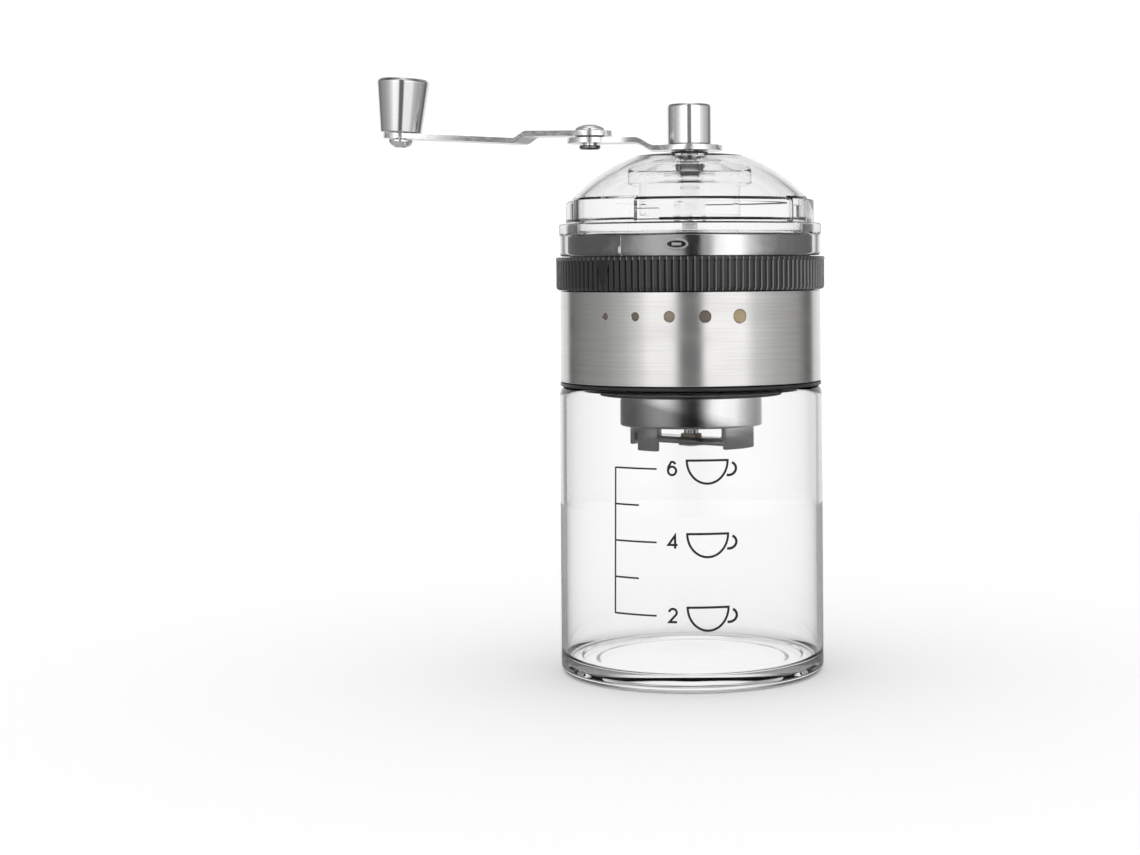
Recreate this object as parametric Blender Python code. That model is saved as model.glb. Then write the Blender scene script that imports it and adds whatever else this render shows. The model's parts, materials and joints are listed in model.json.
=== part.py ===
"""Hand crank coffee grinder: glass jar, burr head, clear lid and folding crank.

The grinder stands on the jar's flat underside, with the origin at that face's centre and +Z up.
Lengths in this file are millimetres, turned into metres where a mesh is made. The front is -Y,
and a front angle is counted from -Y towards +X, so a positive one turns about +Z.
"""

import math

import bmesh
import bpy
from mathutils import Matrix, Vector

MM = 0.001
GAP = 0.3                   # clearance between pieces that touch on the bench
LARGE_SEGMENTS = 36
MEDIUM_SEGMENTS = 24
SMALL_SEGMENTS = 14

# jar
JAR_RADIUS = 43.2
JAR_WALL = 1.9
JAR_FLOOR = 5.0
JAR_HEIGHT = 93.3

# head, from the flange on the jar's rim up to the collar that takes the lid
FLANGE_BOTTOM = JAR_HEIGHT + GAP
FLANGE_TOP = 94.7
FLANGE_RADIUS = 43.0
BAND_RADIUS = 42.9
BAND_SHEET = 0.8
BAND_BOTTOM = FLANGE_TOP + GAP
BAND_TOP = 124.6
CORE_RADIUS = BAND_RADIUS - BAND_SHEET - GAP
CORE_WALL = 1.6
NECK_RADIUS = 39.6
NECK_BORE = 37.2
NECK_TOP = 143.1
HOPPER_RADIUS = 43.3
HOPPER_BORE = 41.5
HOPPER_FLANGE = 3.2
HOPPER_BOTTOM = 136.0
HOPPER_TOP = 146.6
TRIM_RADIUS = 40.4
TRIM_SHEET = 0.5

# grind scale on the band
MARK_HEIGHT = 116.9
MARK_FIRST_ANGLE = -38.9
MARK_STEP = 15.0
MARK_RADII = (1.0, 1.3, 1.7, 1.92, 2.2)

# adjuster ring and the cam that lifts the funnel
RING_BOTTOM = BAND_TOP + GAP
RING_TOP = 135.7
RING_BORE = NECK_RADIUS + 0.4
RIB_TIP = 44.2
RIB_VALLEY = 43.6
RIB_COUNT = 126
RING_LIP_RADIUS = 44.35
ADJUST_TURN = 60.0
CARRIER_LIFT = 1.2
PIN_RADIUS = 1.5
PIN_HEIGHT = 130.0
PIN_ANGLES = (60.0, 180.0, 300.0)

# burrs, their housing and the shaft
FUNNEL_RIM_RADIUS = NECK_BORE - 0.4
FUNNEL_TUBE_RADIUS = 21.5
OUTER_BURR_RADIUS = 19.5
BURR_TEETH = 20
BURR_SLOPE = 0.63           # radius lost per millimetre of height, on both burrs
BURR_WIDEST = 17.0
BURR_WIDEST_HEIGHT = 84.0
BURR_GRIND_GAP = 0.6
HOUSING_RADIUS = 23.5
HOUSING_BORE = 21.9
HOUSING_BOTTOM = 80.7
LEG_BOTTOM = 73.0
BRIDGE_ANGLE = 50.5         # front angle of the wide leg that the bridge starts from
BRIDGE_BOTTOM = 74.4
BRIDGE_THICKNESS = 1.6
SCREW_CIRCLE = 31.0
SHAFT_RADIUS = 2.4

# lid
LID_RIM_RADIUS = 41.0
LID_RIM_BOTTOM = HOPPER_TOP + 0.4
LID_RIM_TOP = 153.5
LID_SPIGOT = NECK_BORE - 0.4
LID_BORE = 35.0
DOME_RADIUS = 52.3
DOME_CENTRE = 119.9
DOME_WALL = 2.0
DOME_TOP = 169.3
TAB_START_ANGLE = -68.0
TAB_SPAN = 41.2
TAB_BORE = 38.6
TAB_TOP = 154.2
TAB_COUNT = 3

# crank
SPINDLE_RADIUS = 3.0
ARM_THICKNESS = 1.6
ARM_HALF_WIDTH = 6.0
ARM_HUB_RADIUS = 11.1
ARM_BOTTOM = 170.7
ARM_RAISE = 2.3
FOLD_X = -32.9
FOLD_END_RADIUS = 7.7
OUTER_END_RADIUS = 7.3
OUTER_HALF_WIDTH = 5.2
OUTER_LENGTH = 62.4
OUTER_DROP = 2.7
OUTER_TILT = math.radians(2.9)
KNOB_END_RADIUS = 5.7
KNOB_HEIGHT = 17.5
KNOB_BOTTOM_RADIUS = 7.05
KNOB_TOP_RADIUS = 8.6
CAP_NUT_RADIUS = 7.4
CAP_NUT_TOP = 186.1


# ---------------------------------------------------------------- helpers

def clear_scene():
    for item in list(bpy.data.objects):
        bpy.data.objects.remove(item, do_unlink=True)


def material(name, colour, roughness, metallic=0.0, transmission=0.0):
    made = bpy.data.materials.new(name)
    made.use_nodes = True
    shader = made.node_tree.nodes["Principled BSDF"]
    shader.inputs["Base Color"].default_value = (*colour, 1.0)
    shader.inputs["Roughness"].default_value = roughness
    shader.inputs["Metallic"].default_value = metallic
    shader.inputs["Transmission Weight"].default_value = transmission
    made.diffuse_color = (*colour, 1.0)
    return made


def body_frame(name, x=0.0, z=0.0, tilt=0.0, parent=None):
    """An empty on the axis that a body turns or slides on."""
    frame = bpy.data.objects.new(name, None)
    bpy.context.collection.objects.link(frame)
    frame.empty_display_size = 0.01
    frame.location = (x * MM, 0.0, z * MM)
    frame.rotation_euler = (0.0, tilt, 0.0)
    frame.parent = parent
    return frame


def add_object(name, bm, finish, parent, crease_degrees=32.0):
    """Turns a bmesh in millimetres into a named object in metres."""
    bmesh.ops.scale(bm, vec=(MM, MM, MM), verts=bm.verts)
    bmesh.ops.recalc_face_normals(bm, faces=bm.faces)
    mesh = bpy.data.meshes.new(name)
    bm.to_mesh(mesh)
    bm.free()
    mesh.shade_smooth()
    mesh.set_sharp_from_angle(angle=math.radians(crease_degrees))
    made = bpy.data.objects.new(name, mesh)
    bpy.context.collection.objects.link(made)
    made.parent = parent
    if finish is not None:
        mesh.materials.append(finish)
    return made


def boolean(target, bm, operation):
    """Adds or cuts the solid bm, kept as a hidden wire object that the modifier reads."""
    name = "%s_%s_%d" % (target.name, operation.lower(), len(target.modifiers))
    tool = add_object(name, bm, None, target.parent)
    tool.hide_render = True
    tool.display_type = "WIRE"
    step = target.modifiers.new(name, "BOOLEAN")
    step.operation = operation
    step.solver = "EXACT"
    step.object = tool


def cut(target, *solids):
    for solid in solids:
        boolean(target, solid, "DIFFERENCE")


def join(target, *solids):
    for solid in solids:
        boolean(target, solid, "UNION")


def on_circle(radius, front_angle, height=0.0):
    """The point at a radius and a front angle in degrees."""
    turn = math.radians(front_angle)
    return Vector((radius * math.sin(turn), -radius * math.cos(turn), height))


def rounded(corners, steps=3):
    """A profile of (radius, height) points; a third number rounds that corner."""
    points = []
    count = len(corners)
    for index, corner in enumerate(corners):
        here = Vector(corner[:2])
        if len(corner) == 2:
            points.append(here)
            continue
        before = (Vector(corners[index - 1][:2]) - here).normalized()
        after = (Vector(corners[(index + 1) % count][:2]) - here).normalized()
        half = before.angle(after) / 2.0
        reach = corner[2] / math.tan(half)
        start = here + before * reach
        end = here + after * reach
        centre = here + (before + after).normalized() * (corner[2] / math.sin(half))
        for step in range(steps + 1):
            blend = start.lerp(end, step / steps) - centre
            points.append(centre + blend.normalized() * corner[2])
    return points


def turned(corners, segments=LARGE_SEGMENTS, centre=(0.0, 0.0), steps=2):
    """A solid of revolution about a vertical axis."""
    bm = bmesh.new()
    points = rounded(corners, steps)
    verts = [bm.verts.new((point[0], 0.0, point[1])) for point in points]
    on_axis = points[0][0] < 1e-6 and points[-1][0] < 1e-6
    edges = [bm.edges.new(pair) for pair in zip(verts, verts[1:])]
    if not on_axis:
        edges.append(bm.edges.new((verts[-1], verts[0])))
    bmesh.ops.spin(bm, geom=verts + edges, cent=(0.0, 0.0, 0.0), axis=(0.0, 0.0, 1.0),
                   angle=math.tau, steps=segments, use_merge=True)
    bmesh.ops.remove_doubles(bm, verts=bm.verts, dist=1e-5)
    bmesh.ops.translate(bm, vec=(centre[0], centre[1], 0.0), verts=bm.verts)
    bmesh.ops.recalc_face_normals(bm, faces=bm.faces)
    return bm


def tube(inner, outer, bottom, top, segments=SMALL_SEGMENTS, centre=(0.0, 0.0)):
    corners = [(inner, bottom), (outer, bottom), (outer, top), (inner, top)]
    return turned(corners, segments, centre)


def rod(radius, bottom, top, segments=SMALL_SEGMENTS, centre=(0.0, 0.0)):
    corners = [(0.0, bottom), (radius, bottom), (radius, top), (0.0, top)]
    return turned(corners, segments, centre)


def lofted(loops, closed=False):
    """Skins rings of points; an open run is capped, a closed one meets its start."""
    bm = bmesh.new()
    rings = [[bm.verts.new(point) for point in loop] for loop in loops]
    pairs = list(zip(rings, rings[1:]))
    if closed:
        pairs.append((rings[-1], rings[0]))
    for low, high in pairs:
        for index in range(len(low)):
            after = (index + 1) % len(low)
            bm.faces.new((low[index], low[after], high[after], high[index]))
    if not closed:
        bm.faces.new(rings[0])
        bm.faces.new(rings[-1])
    bmesh.ops.recalc_face_normals(bm, faces=bm.faces)
    return bm


def arc_block(inner, outer, bottom, top, start, end, steps=8, lift=0.0):
    """A curved bar between two front angles, which climbs by lift on the way."""
    loops = []
    for step in range(steps + 1):
        part = step / steps
        angle = start + (end - start) * part
        low = bottom + lift * part
        high = top + lift * part
        loops.append([on_circle(inner, angle, low), on_circle(outer, angle, low),
                      on_circle(outer, angle, high), on_circle(inner, angle, high)])
    return lofted(loops)


def placed(bm, front_angle=0.0, tilt=None, offset=(0.0, 0.0, 0.0)):
    """Tilts a solid, moves it, then turns it about the grinder's axis."""
    matrix = Matrix.Rotation(math.radians(front_angle), 4, "Z") @ Matrix.Translation(offset)
    if tilt is not None:
        matrix = matrix @ tilt
    bmesh.ops.transform(bm, matrix=matrix, verts=bm.verts)
    return bm


def radial_rod(radius, inner, outer, front_angle, height, segments=SMALL_SEGMENTS):
    """A rod that points straight out from the grinder's axis."""
    lying = Matrix.Rotation(math.radians(90.0), 4, "X")
    return placed(rod(radius, inner, outer, segments), front_angle, lying, (0.0, 0.0, height))


# ---------------------------------------------------------------- jar

def make_jar(look, jar):
    inner = JAR_RADIUS - JAR_WALL
    lip = JAR_WALL / 2.0 - 0.02
    add_object("glass_jar", turned([
        (0.0, 0.0), (JAR_RADIUS, 0.0, 3.6), (JAR_RADIUS, JAR_HEIGHT, lip),
        (inner, JAR_HEIGHT, lip), (inner, JAR_FLOOR, 3.2), (0.0, JAR_FLOOR)]), look["glass"], jar)


# ---------------------------------------------------------------- head

def make_collar_and_seal(look, head):
    boss_bore = 35.5
    boss_radius = 38.0
    boss_bottom = 90.6
    lip_radius = 39.3
    lip_height = 0.7
    collar = add_object("base_collar", turned([
        (HOUSING_RADIUS + 0.5, FLANGE_TOP), (FLANGE_RADIUS, FLANGE_TOP),
        (FLANGE_RADIUS, FLANGE_BOTTOM), (boss_radius, FLANGE_BOTTOM),
        (boss_radius, boss_bottom + lip_height), (lip_radius, boss_bottom + lip_height),
        (lip_radius, boss_bottom), (boss_bore, boss_bottom), (boss_bore, FLANGE_BOTTOM),
        (HOUSING_RADIUS + 0.5, FLANGE_BOTTOM)]), look["black"], head)
    cut_screw_holes(collar, FLANGE_BOTTOM - 1.0, FLANGE_TOP + 1.0)
    seal_radius = JAR_RADIUS - JAR_WALL - GAP
    add_object("jar_seal", turned([
        (boss_radius + GAP, boss_bottom + lip_height + GAP),
        (seal_radius - 0.4, boss_bottom + lip_height + GAP),
        (seal_radius, boss_bottom + lip_height + GAP + 0.5), (seal_radius, FLANGE_BOTTOM - GAP),
        (boss_radius + GAP, FLANGE_BOTTOM - GAP)]), look["rubber"], head)


def screw_places():
    return [on_circle(SCREW_CIRCLE, angle) for angle in PIN_ANGLES]


def cut_screw_holes(target, bottom, top):
    for place in screw_places():
        cut(target, rod(1.8, bottom, top, 12, place[:2]))


def make_core(look, head):
    floor_bottom = FLANGE_TOP + 2.2
    floor_top = floor_bottom + 2.1
    inner = CORE_RADIUS - CORE_WALL
    shoulder = BAND_TOP - 2.0
    step_radius = 34.3
    core = add_object("body_core", turned([
        (22.5, floor_bottom), (step_radius, floor_bottom), (step_radius, BAND_BOTTOM),
        (CORE_RADIUS, BAND_BOTTOM), (CORE_RADIUS, BAND_TOP), (NECK_RADIUS, BAND_TOP),
        (NECK_RADIUS, NECK_TOP), (NECK_BORE, NECK_TOP), (NECK_BORE, shoulder),
        (inner, shoulder), (inner, floor_top), (22.5, floor_top)]), look["black"], head)
    boss_top = 103.5
    for place in screw_places():
        join(core, rod(3.2, floor_top - 1.0, boss_top, 12, place[:2]))
    cut_screw_holes(core, floor_bottom - 1.0, boss_top - 1.0)
    half = math.degrees((PIN_RADIUS + 0.7) / NECK_RADIUS)
    for angle in PIN_ANGLES:
        cut(core, arc_block(NECK_BORE - 1.0, NECK_RADIUS + 1.0, PIN_HEIGHT - PIN_RADIUS - 0.4,
                            PIN_HEIGHT + CARRIER_LIFT + PIN_RADIUS + 0.4,
                            angle - half, angle + half, 2))


def make_housing_screws(look, head):
    head_bottom = FLANGE_BOTTOM - GAP - 1.1
    for number, place in enumerate(screw_places(), 1):
        add_object("housing_screw_%d" % number, turned([
            (0.0, head_bottom), (2.6, head_bottom, 0.4), (2.6, FLANGE_BOTTOM - GAP),
            (1.4, FLANGE_BOTTOM - GAP), (1.4, 101.4), (0.0, 101.4)],
            12, place[:2], 1), look["steel"], head)


def make_band(look, head):
    inner = BAND_RADIUS - BAND_SHEET
    band = add_object("steel_band", turned([
        (inner, BAND_BOTTOM), (BAND_RADIUS, BAND_BOTTOM), (BAND_RADIUS, BAND_TOP),
        (inner, BAND_TOP)]), look["steel"], head)
    for number, radius in enumerate(MARK_RADII):
        angle = MARK_FIRST_ANGLE + MARK_STEP * number
        cut(band, radial_rod(radius + 0.3, inner - 2.0, BAND_RADIUS + 2.0, angle, MARK_HEIGHT, 12))
        add_object("grind_mark_%d" % (number + 1), radial_rod(
            radius, CORE_RADIUS + GAP, BAND_RADIUS - 0.15, angle, MARK_HEIGHT, 12), look["tan"], head)


def make_hopper_collar(look, head):
    ledge = HOPPER_TOP - HOPPER_FLANGE
    collar = add_object("hopper_collar", turned([
        (HOPPER_BORE, HOPPER_BOTTOM), (HOPPER_RADIUS - 0.3, HOPPER_BOTTOM, 0.9),
        (HOPPER_RADIUS - 0.3, ledge - 0.2), (HOPPER_RADIUS, ledge), (HOPPER_RADIUS, HOPPER_TOP, 0.6),
        (NECK_BORE, HOPPER_TOP), (NECK_BORE, ledge), (HOPPER_BORE, ledge)], steps=1),
        look["clear"], head)
    for number in range(TAB_COUNT):
        start = TAB_START_ANGLE + 360.0 / TAB_COUNT * number
        join(collar, arc_block(TAB_BORE, LID_RIM_RADIUS, HOPPER_TOP - 0.5, TAB_TOP,
                               start, start + TAB_SPAN, 6))


def make_trim(look, head):
    bottom = HOPPER_BOTTOM + GAP
    top = NECK_TOP - 0.6
    band = add_object("chrome_band", tube(TRIM_RADIUS - TRIM_SHEET, TRIM_RADIUS, bottom, top,
                                          LARGE_SEGMENTS), look["chrome"], head)
    seam_angle = -33.0
    cut(band, arc_block(TRIM_RADIUS - 2.0, TRIM_RADIUS + 2.0, bottom - 1.0, top + 1.0,
                        seam_angle - 0.2, seam_angle + 0.2, 1))
    half_width = 3.65
    half_height = 1.8
    points = 20
    loops = []
    for depth in (TRIM_RADIUS + 0.35, TRIM_RADIUS + 0.7):
        loops.append([Vector((half_width * math.cos(math.tau * step / points), -depth,
                              139.5 + half_height * math.sin(math.tau * step / points)))
                      for step in range(points)])
    add_object("band_catch", placed(lofted(loops), -5.9), look["chrome"], head)


def make_housing(look, head):
    flange_top = FLANGE_TOP + 1.9
    plate_top = HOUSING_BOTTOM + 1.6
    plate_bore = 19.8
    housing = add_object("burr_housing", turned([
        (HOUSING_BORE, flange_top), (34.0, flange_top), (34.0, BAND_BOTTOM),
        (HOUSING_RADIUS, BAND_BOTTOM), (HOUSING_RADIUS, HOUSING_BOTTOM, 0.8),
        (plate_bore, HOUSING_BOTTOM), (plate_bore, plate_top), (HOUSING_BORE, plate_top)],
        steps=1), look["smoke"], head)
    leg_bore = 20.0
    leg_radius = 21.7
    for turn, half in ((0.0, 21.5), (90.0, 11.0), (180.0, 21.5), (270.0, 11.0)):
        angle = BRIDGE_ANGLE + turn
        join(housing, arc_block(leg_bore, leg_radius, LEG_BOTTOM, HOUSING_BOTTOM + 0.8,
                                angle - half, angle + half, 5))
    cut_screw_holes(housing, BAND_BOTTOM - 1.0, flange_top + 1.0)
    pocket_bottom = BRIDGE_BOTTOM - GAP
    pocket_top = BRIDGE_BOTTOM + BRIDGE_THICKNESS + GAP
    cut(housing, placed(bar(21.0, 3.3, pocket_bottom, pocket_top), BRIDGE_ANGLE - 90.0))


def bar(half_length, half_width, bottom, top):
    """A straight bar along X."""
    return lofted([[Vector((x, y, z)) for x, y in (
        (-half_length, -half_width), (half_length, -half_width),
        (half_length, half_width), (-half_length, half_width))] for z in (bottom, top)])


def make_bridge(look, head):
    top = BRIDGE_BOTTOM + BRIDGE_THICKNESS
    bridge = add_object("lower_bridge", placed(bar(20.6, 3.0, BRIDGE_BOTTOM, top),
                                               BRIDGE_ANGLE - 90.0), look["smoke"], head)
    join(bridge, rod(5.6, BRIDGE_BOTTOM - 0.2, top + 0.4))
    cut(bridge, rod(4.2, BRIDGE_BOTTOM - 2.0, top + 2.0))
    add_object("bridge_bushing", turned([
        (SHAFT_RADIUS + GAP, top + 1.4), (4.9, top + 1.4), (4.9, top + 0.7), (3.9, top + 0.7),
        (3.9, BRIDGE_BOTTOM), (SHAFT_RADIUS + GAP, BRIDGE_BOTTOM)], SMALL_SEGMENTS),
        look["brass"], head)


def make_detent_spring(look, head):
    """A sprung leaf round the neck whose bump clicks into the ring's five notches."""
    inside = []
    outside = []
    steps = 24
    for step in range(steps + 1):
        offset = -20.0 + 40.0 * step / steps
        bump = 1.3 * math.exp(-(offset / 2.4) ** 2)
        angle = 120.0 + offset
        inside.append((NECK_RADIUS + 0.6 + bump, angle))
        outside.append((NECK_RADIUS + 1.1 + bump, angle))
    outline = inside + outside[::-1]
    loops = [[on_circle(radius, angle, height) for radius, angle in outline]
             for height in (RING_BOTTOM + 0.3, RING_BOTTOM + 2.1)]
    add_object("detent_spring", lofted(loops), look["steel"], head)


# ---------------------------------------------------------------- grind adjustment

def make_adjuster_ring(look, adjuster):
    count = RIB_COUNT * 2
    recess_radius = 42.6
    recess_top = RING_BOTTOM + 2.5
    lip_bottom = RING_TOP - 1.2
    ribs = []
    for height in (RING_BOTTOM, lip_bottom + 0.1):
        ribs.append([on_circle(RIB_TIP if step % 2 else RIB_VALLEY, 360.0 * step / count, height)
                     for step in range(count)])
    ring = add_object("adjuster_ring", lofted(ribs), look["black"], adjuster)
    join(ring, turned([(0.0, lip_bottom), (RING_LIP_RADIUS, lip_bottom),
                       (RING_LIP_RADIUS, RING_TOP, 0.4), (0.0, RING_TOP)], 48, steps=1))
    cut(ring, turned([(0.0, RING_BOTTOM - 1.0), (recess_radius, RING_BOTTOM - 1.0),
                      (recess_radius, recess_top), (RING_BORE, recess_top),
                      (RING_BORE, RING_TOP + 1.0), (0.0, RING_TOP + 1.0)]))
    spread = 5.0
    for angle in PIN_ANGLES:
        reach = ADJUST_TURN + 2.0 * spread
        lift = CARRIER_LIFT * reach / ADJUST_TURN
        below = CARRIER_LIFT * spread / ADJUST_TURN
        cut(ring, arc_block(RING_BORE - 1.0, 42.2, PIN_HEIGHT - PIN_RADIUS - 0.4 - below,
                            PIN_HEIGHT + PIN_RADIUS + 0.4 - below, angle + spread,
                            angle + spread - reach, 8, lift))
    for number in range(len(MARK_RADII)):
        place = on_circle(42.4, 120.0 - MARK_STEP * number)
        cut(ring, rod(0.6, RING_BOTTOM - 1.0, recess_top - 0.2, 8, place[:2]))
    half_top = 2.5
    half_bottom = 0.4
    loops = []
    for height, half in ((RING_BOTTOM + 1.1, half_bottom), (lip_bottom - 0.3, half_top)):
        loops.append([Vector((-half, -43.1, height)), Vector((half, -43.1, height)),
                      Vector((half, -44.32, height)), Vector((-half, -44.32, height))])
    join(ring, placed(lofted(loops), MARK_FIRST_ANGLE + 0.4))


def make_funnel(look, carrier):
    rim_bore = FUNNEL_RIM_RADIUS - 1.6
    throat = 17.6
    burr_bore = OUTER_BURR_RADIUS + GAP
    seat = 94.5
    funnel = add_object("bean_funnel", turned([
        (rim_bore, 136.0), (FUNNEL_RIM_RADIUS, 136.0), (FUNNEL_RIM_RADIUS, 125.5),
        (FUNNEL_TUBE_RADIUS, 109.0), (FUNNEL_TUBE_RADIUS, 106.0), (27.0, 106.0), (27.0, 104.0),
        (FUNNEL_TUBE_RADIUS, 104.0), (FUNNEL_TUBE_RADIUS, 83.0), (burr_bore, 83.0),
        (burr_bore, seat), (throat, seat), (throat, 108.0), (rim_bore, 126.0)]),
        look["black"], carrier)
    for number, angle in enumerate(PIN_ANGLES, 1):
        cut(funnel, radial_rod(PIN_RADIUS + 0.3, rim_bore - 3.0, FUNNEL_RIM_RADIUS + 3.0, angle,
                               PIN_HEIGHT, 10))
        add_object("cam_pin_%d" % number, radial_rod(PIN_RADIUS, rim_bore + 0.2, 41.8, angle,
                                                     PIN_HEIGHT, 10), look["steel"], carrier)


def toothed_loop(base, depth, height, twist):
    """A ring of saw teeth: each rises over two thirds of its pitch and drops back."""
    loop = []
    for tooth in range(BURR_TEETH):
        for part, rise in ((0.0, 0.0), (0.65, 1.0)):
            angle = 360.0 * (tooth + part) / BURR_TEETH + twist
            loop.append(on_circle(base + depth * rise, angle, height))
    return loop


def burr_cone(height):
    return BURR_WIDEST - BURR_SLOPE * (height - BURR_WIDEST_HEIGHT)


def make_outer_burr(look, carrier):
    bottom = 83.3
    top = 94.2
    burr = add_object("outer_burr", rod(OUTER_BURR_RADIUS, bottom, top, LARGE_SEGMENTS), look["ceramic"], carrier)
    loops = []
    for height in (bottom - 1.0, (bottom + top) / 2.0, top + 1.0):
        twist = -2.0 * (height - bottom)
        loops.append(toothed_loop(burr_cone(height) + BURR_GRIND_GAP, 0.8, height, twist))
    cut(burr, lofted(loops))


def make_carrier_spring(look, carrier):
    coil_radius = 24.2
    wire = 0.45
    turns = 3
    first = 99.8
    last = 103.2
    steps = 16 * turns
    loops = []
    for step in range(steps + 1):
        part = step / steps
        angle = 360.0 * turns * part
        height = first + (last - first) * part
        loops.append([on_circle(coil_radius + wire * math.cos(side), angle,
                                height + wire * math.sin(side))
                      for side in (math.tau * corner / 5 for corner in range(5))])
    add_object("carrier_spring", lofted(loops), look["steel"], carrier)


# ---------------------------------------------------------------- drive

def make_drive(look, drive):
    burr_top = 96.7
    shaft_bottom = LEG_BOTTOM + 0.3
    clip_bottom = shaft_bottom + 0.3
    groove = 1.7
    shaft = add_object("drive_shaft", turned([
        (0.0, shaft_bottom), (SHAFT_RADIUS, shaft_bottom), (SHAFT_RADIUS, clip_bottom - 0.1),
        (groove, clip_bottom - 0.1), (groove, clip_bottom + 0.6), (SHAFT_RADIUS, clip_bottom + 0.6),
        (SHAFT_RADIUS, burr_top + 0.3), (5.0, burr_top + 0.3), (5.0, burr_top + 1.8),
        (3.5, burr_top + 1.8), (3.5, 145.0, 0.4), (0.0, 145.0)], SMALL_SEGMENTS, steps=2),
        look["steel"], drive)
    join(shaft, turned([(0.0, 144.0), (3.0, 144.0), (3.0, 152.0, 0.5), (0.0, 152.0)], 6, steps=1))
    add_object("shaft_clip", arc_block(groove + 0.3, 4.2, clip_bottom, clip_bottom + 0.5,
                                       40.0, 340.0, 16), look["steel"], drive)
    bottom = 80.8
    loops = [toothed_loop(BURR_WIDEST - 1.4, 0.5, bottom, 0.0),
             toothed_loop(BURR_WIDEST - 0.5, 0.5, BURR_WIDEST_HEIGHT - 1.4, 0.0),
             toothed_loop(BURR_WIDEST - 0.6, 0.6, BURR_WIDEST_HEIGHT, 0.0)]
    for height, depth in ((88.2, 0.9), (92.4, 1.3), (burr_top, 1.7)):
        twist = 4.0 * (height - BURR_WIDEST_HEIGHT)
        loops.append(toothed_loop(burr_cone(height) - depth, depth, height, twist))
    burr = add_object("inner_burr", lofted(loops), look["ceramic"], drive, 20.0)
    recess_top = 84.6
    cut(burr, turned([(0.0, bottom - 1.0), (6.2, bottom - 1.0), (6.2, recess_top),
                      (SHAFT_RADIUS + GAP, recess_top), (SHAFT_RADIUS + GAP, burr_top + 1.0),
                      (0.0, burr_top + 1.0)], SMALL_SEGMENTS))
    add_object("burr_nut", tube(SHAFT_RADIUS + 2.0 * GAP, 5.2, bottom + 0.4, recess_top - 0.4, 6),
               look["steel"], drive)


# ---------------------------------------------------------------- lid

def dome_arc(radius, start_height, end_height, steps):
    """Points of the dome's sphere between two heights."""
    start = math.asin((start_height - DOME_CENTRE) / radius)
    end = math.asin((end_height - DOME_CENTRE) / radius)
    points = []
    for step in range(steps + 1):
        angle = start + (end - start) * step / steps
        points.append((radius * math.cos(angle), DOME_CENTRE + radius * math.sin(angle)))
    return points


def make_lid(look, lid):
    dome_foot = 155.2
    inner_radius = DOME_RADIUS - DOME_WALL
    inner_foot = DOME_CENTRE + math.sqrt(inner_radius ** 2 - LID_BORE ** 2)
    centre_bore = 5.0
    spigot_bottom = HOPPER_TOP - 2.8
    profile = [(LID_BORE, spigot_bottom), (LID_SPIGOT, spigot_bottom),
               (LID_SPIGOT, LID_RIM_BOTTOM), (LID_RIM_RADIUS, LID_RIM_BOTTOM),
               (LID_RIM_RADIUS, LID_RIM_TOP, 1.0), (39.0, 154.6)]
    profile += dome_arc(DOME_RADIUS, dome_foot, DOME_TOP, 5)
    profile += [(centre_bore, DOME_TOP), (centre_bore, DOME_TOP - DOME_WALL)]
    profile += dome_arc(inner_radius, DOME_TOP - DOME_WALL, inner_foot, 4)
    dome = add_object("lid_dome", turned(profile, steps=2), look["clear"], lid)
    clearance = 0.6
    for number in range(TAB_COUNT):
        start = TAB_START_ANGLE + 360.0 / TAB_COUNT * number
        cut(dome, arc_block(TAB_BORE - 0.4, LID_RIM_RADIUS + 2.0, LID_RIM_BOTTOM - 1.0,
                            TAB_TOP + 0.7, start - clearance, start + TAB_SPAN + clearance, 6))
    hub_top = DOME_TOP - DOME_WALL - GAP
    boss_bottom = 156.0
    add_object("lid_hub", turned([
        (centre_bore, hub_top), (14.0, hub_top), (20.5, 165.0, 0.6), (20.5, 159.4, 0.6),
        (16.7, 159.4), (16.7, 149.0), (15.1, 149.0), (15.1, 163.0), (8.6, 163.0),
        (8.6, boss_bottom), (centre_bore, boss_bottom)], MEDIUM_SEGMENTS, steps=1), look["clear"], lid)
    add_object("lid_bushing", turned([
        (SPINDLE_RADIUS + GAP, DOME_TOP - 0.1), (4.6, DOME_TOP - 0.1), (4.6, boss_bottom - 0.4),
        (6.8, boss_bottom - 0.4), (6.8, boss_bottom - 1.4), (SPINDLE_RADIUS + GAP, boss_bottom - 1.4)],
        SMALL_SEGMENTS), look["black"], lid)


# ---------------------------------------------------------------- crank

def strip(pads, half_width, height, knots=()):
    """A flat arm along X with a round pad at each end; height(x) is its middle plane."""
    (first_x, first_radius), (last_x, last_radius) = pads
    stations = [(x, half_width) for x in knots]
    steps = 8
    for centre, radius, side in ((first_x, first_radius, 1.0), (last_x, last_radius, -1.0)):
        inward = math.pi - math.asin(half_width / radius)
        for step in range(steps + 1):
            angle = 0.2 + (inward - 0.2) * step / steps
            stations.append((centre + side * radius * math.cos(angle), radius * math.sin(angle)))
    stations.sort(reverse=True)
    loops = []
    for x, half in stations:
        low = height(x) - ARM_THICKNESS / 2.0
        high = height(x) + ARM_THICKNESS / 2.0
        loops.append([Vector((x, -half, low)), Vector((x, half, low)),
                      Vector((x, half, high)), Vector((x, -half, high))])
    return lofted(loops)


def eased(part):
    """An S-curve from 0 to 1, held flat outside that range."""
    part = min(max(part, 0.0), 1.0)
    return part * part * (3.0 - 2.0 * part)


def inner_arm_height(x):
    return ARM_BOTTOM + ARM_THICKNESS / 2.0 + ARM_RAISE * eased((-11.0 - x) / 9.0)


def outer_arm_height(x):
    """Height of the outer arm's middle plane over its pivot end, at a distance -x from it."""
    rise = max(-x - 25.1, 0.0) * math.tan(OUTER_TILT)
    return rise - OUTER_DROP * eased((-20.5 - x) / 4.6)


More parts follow.
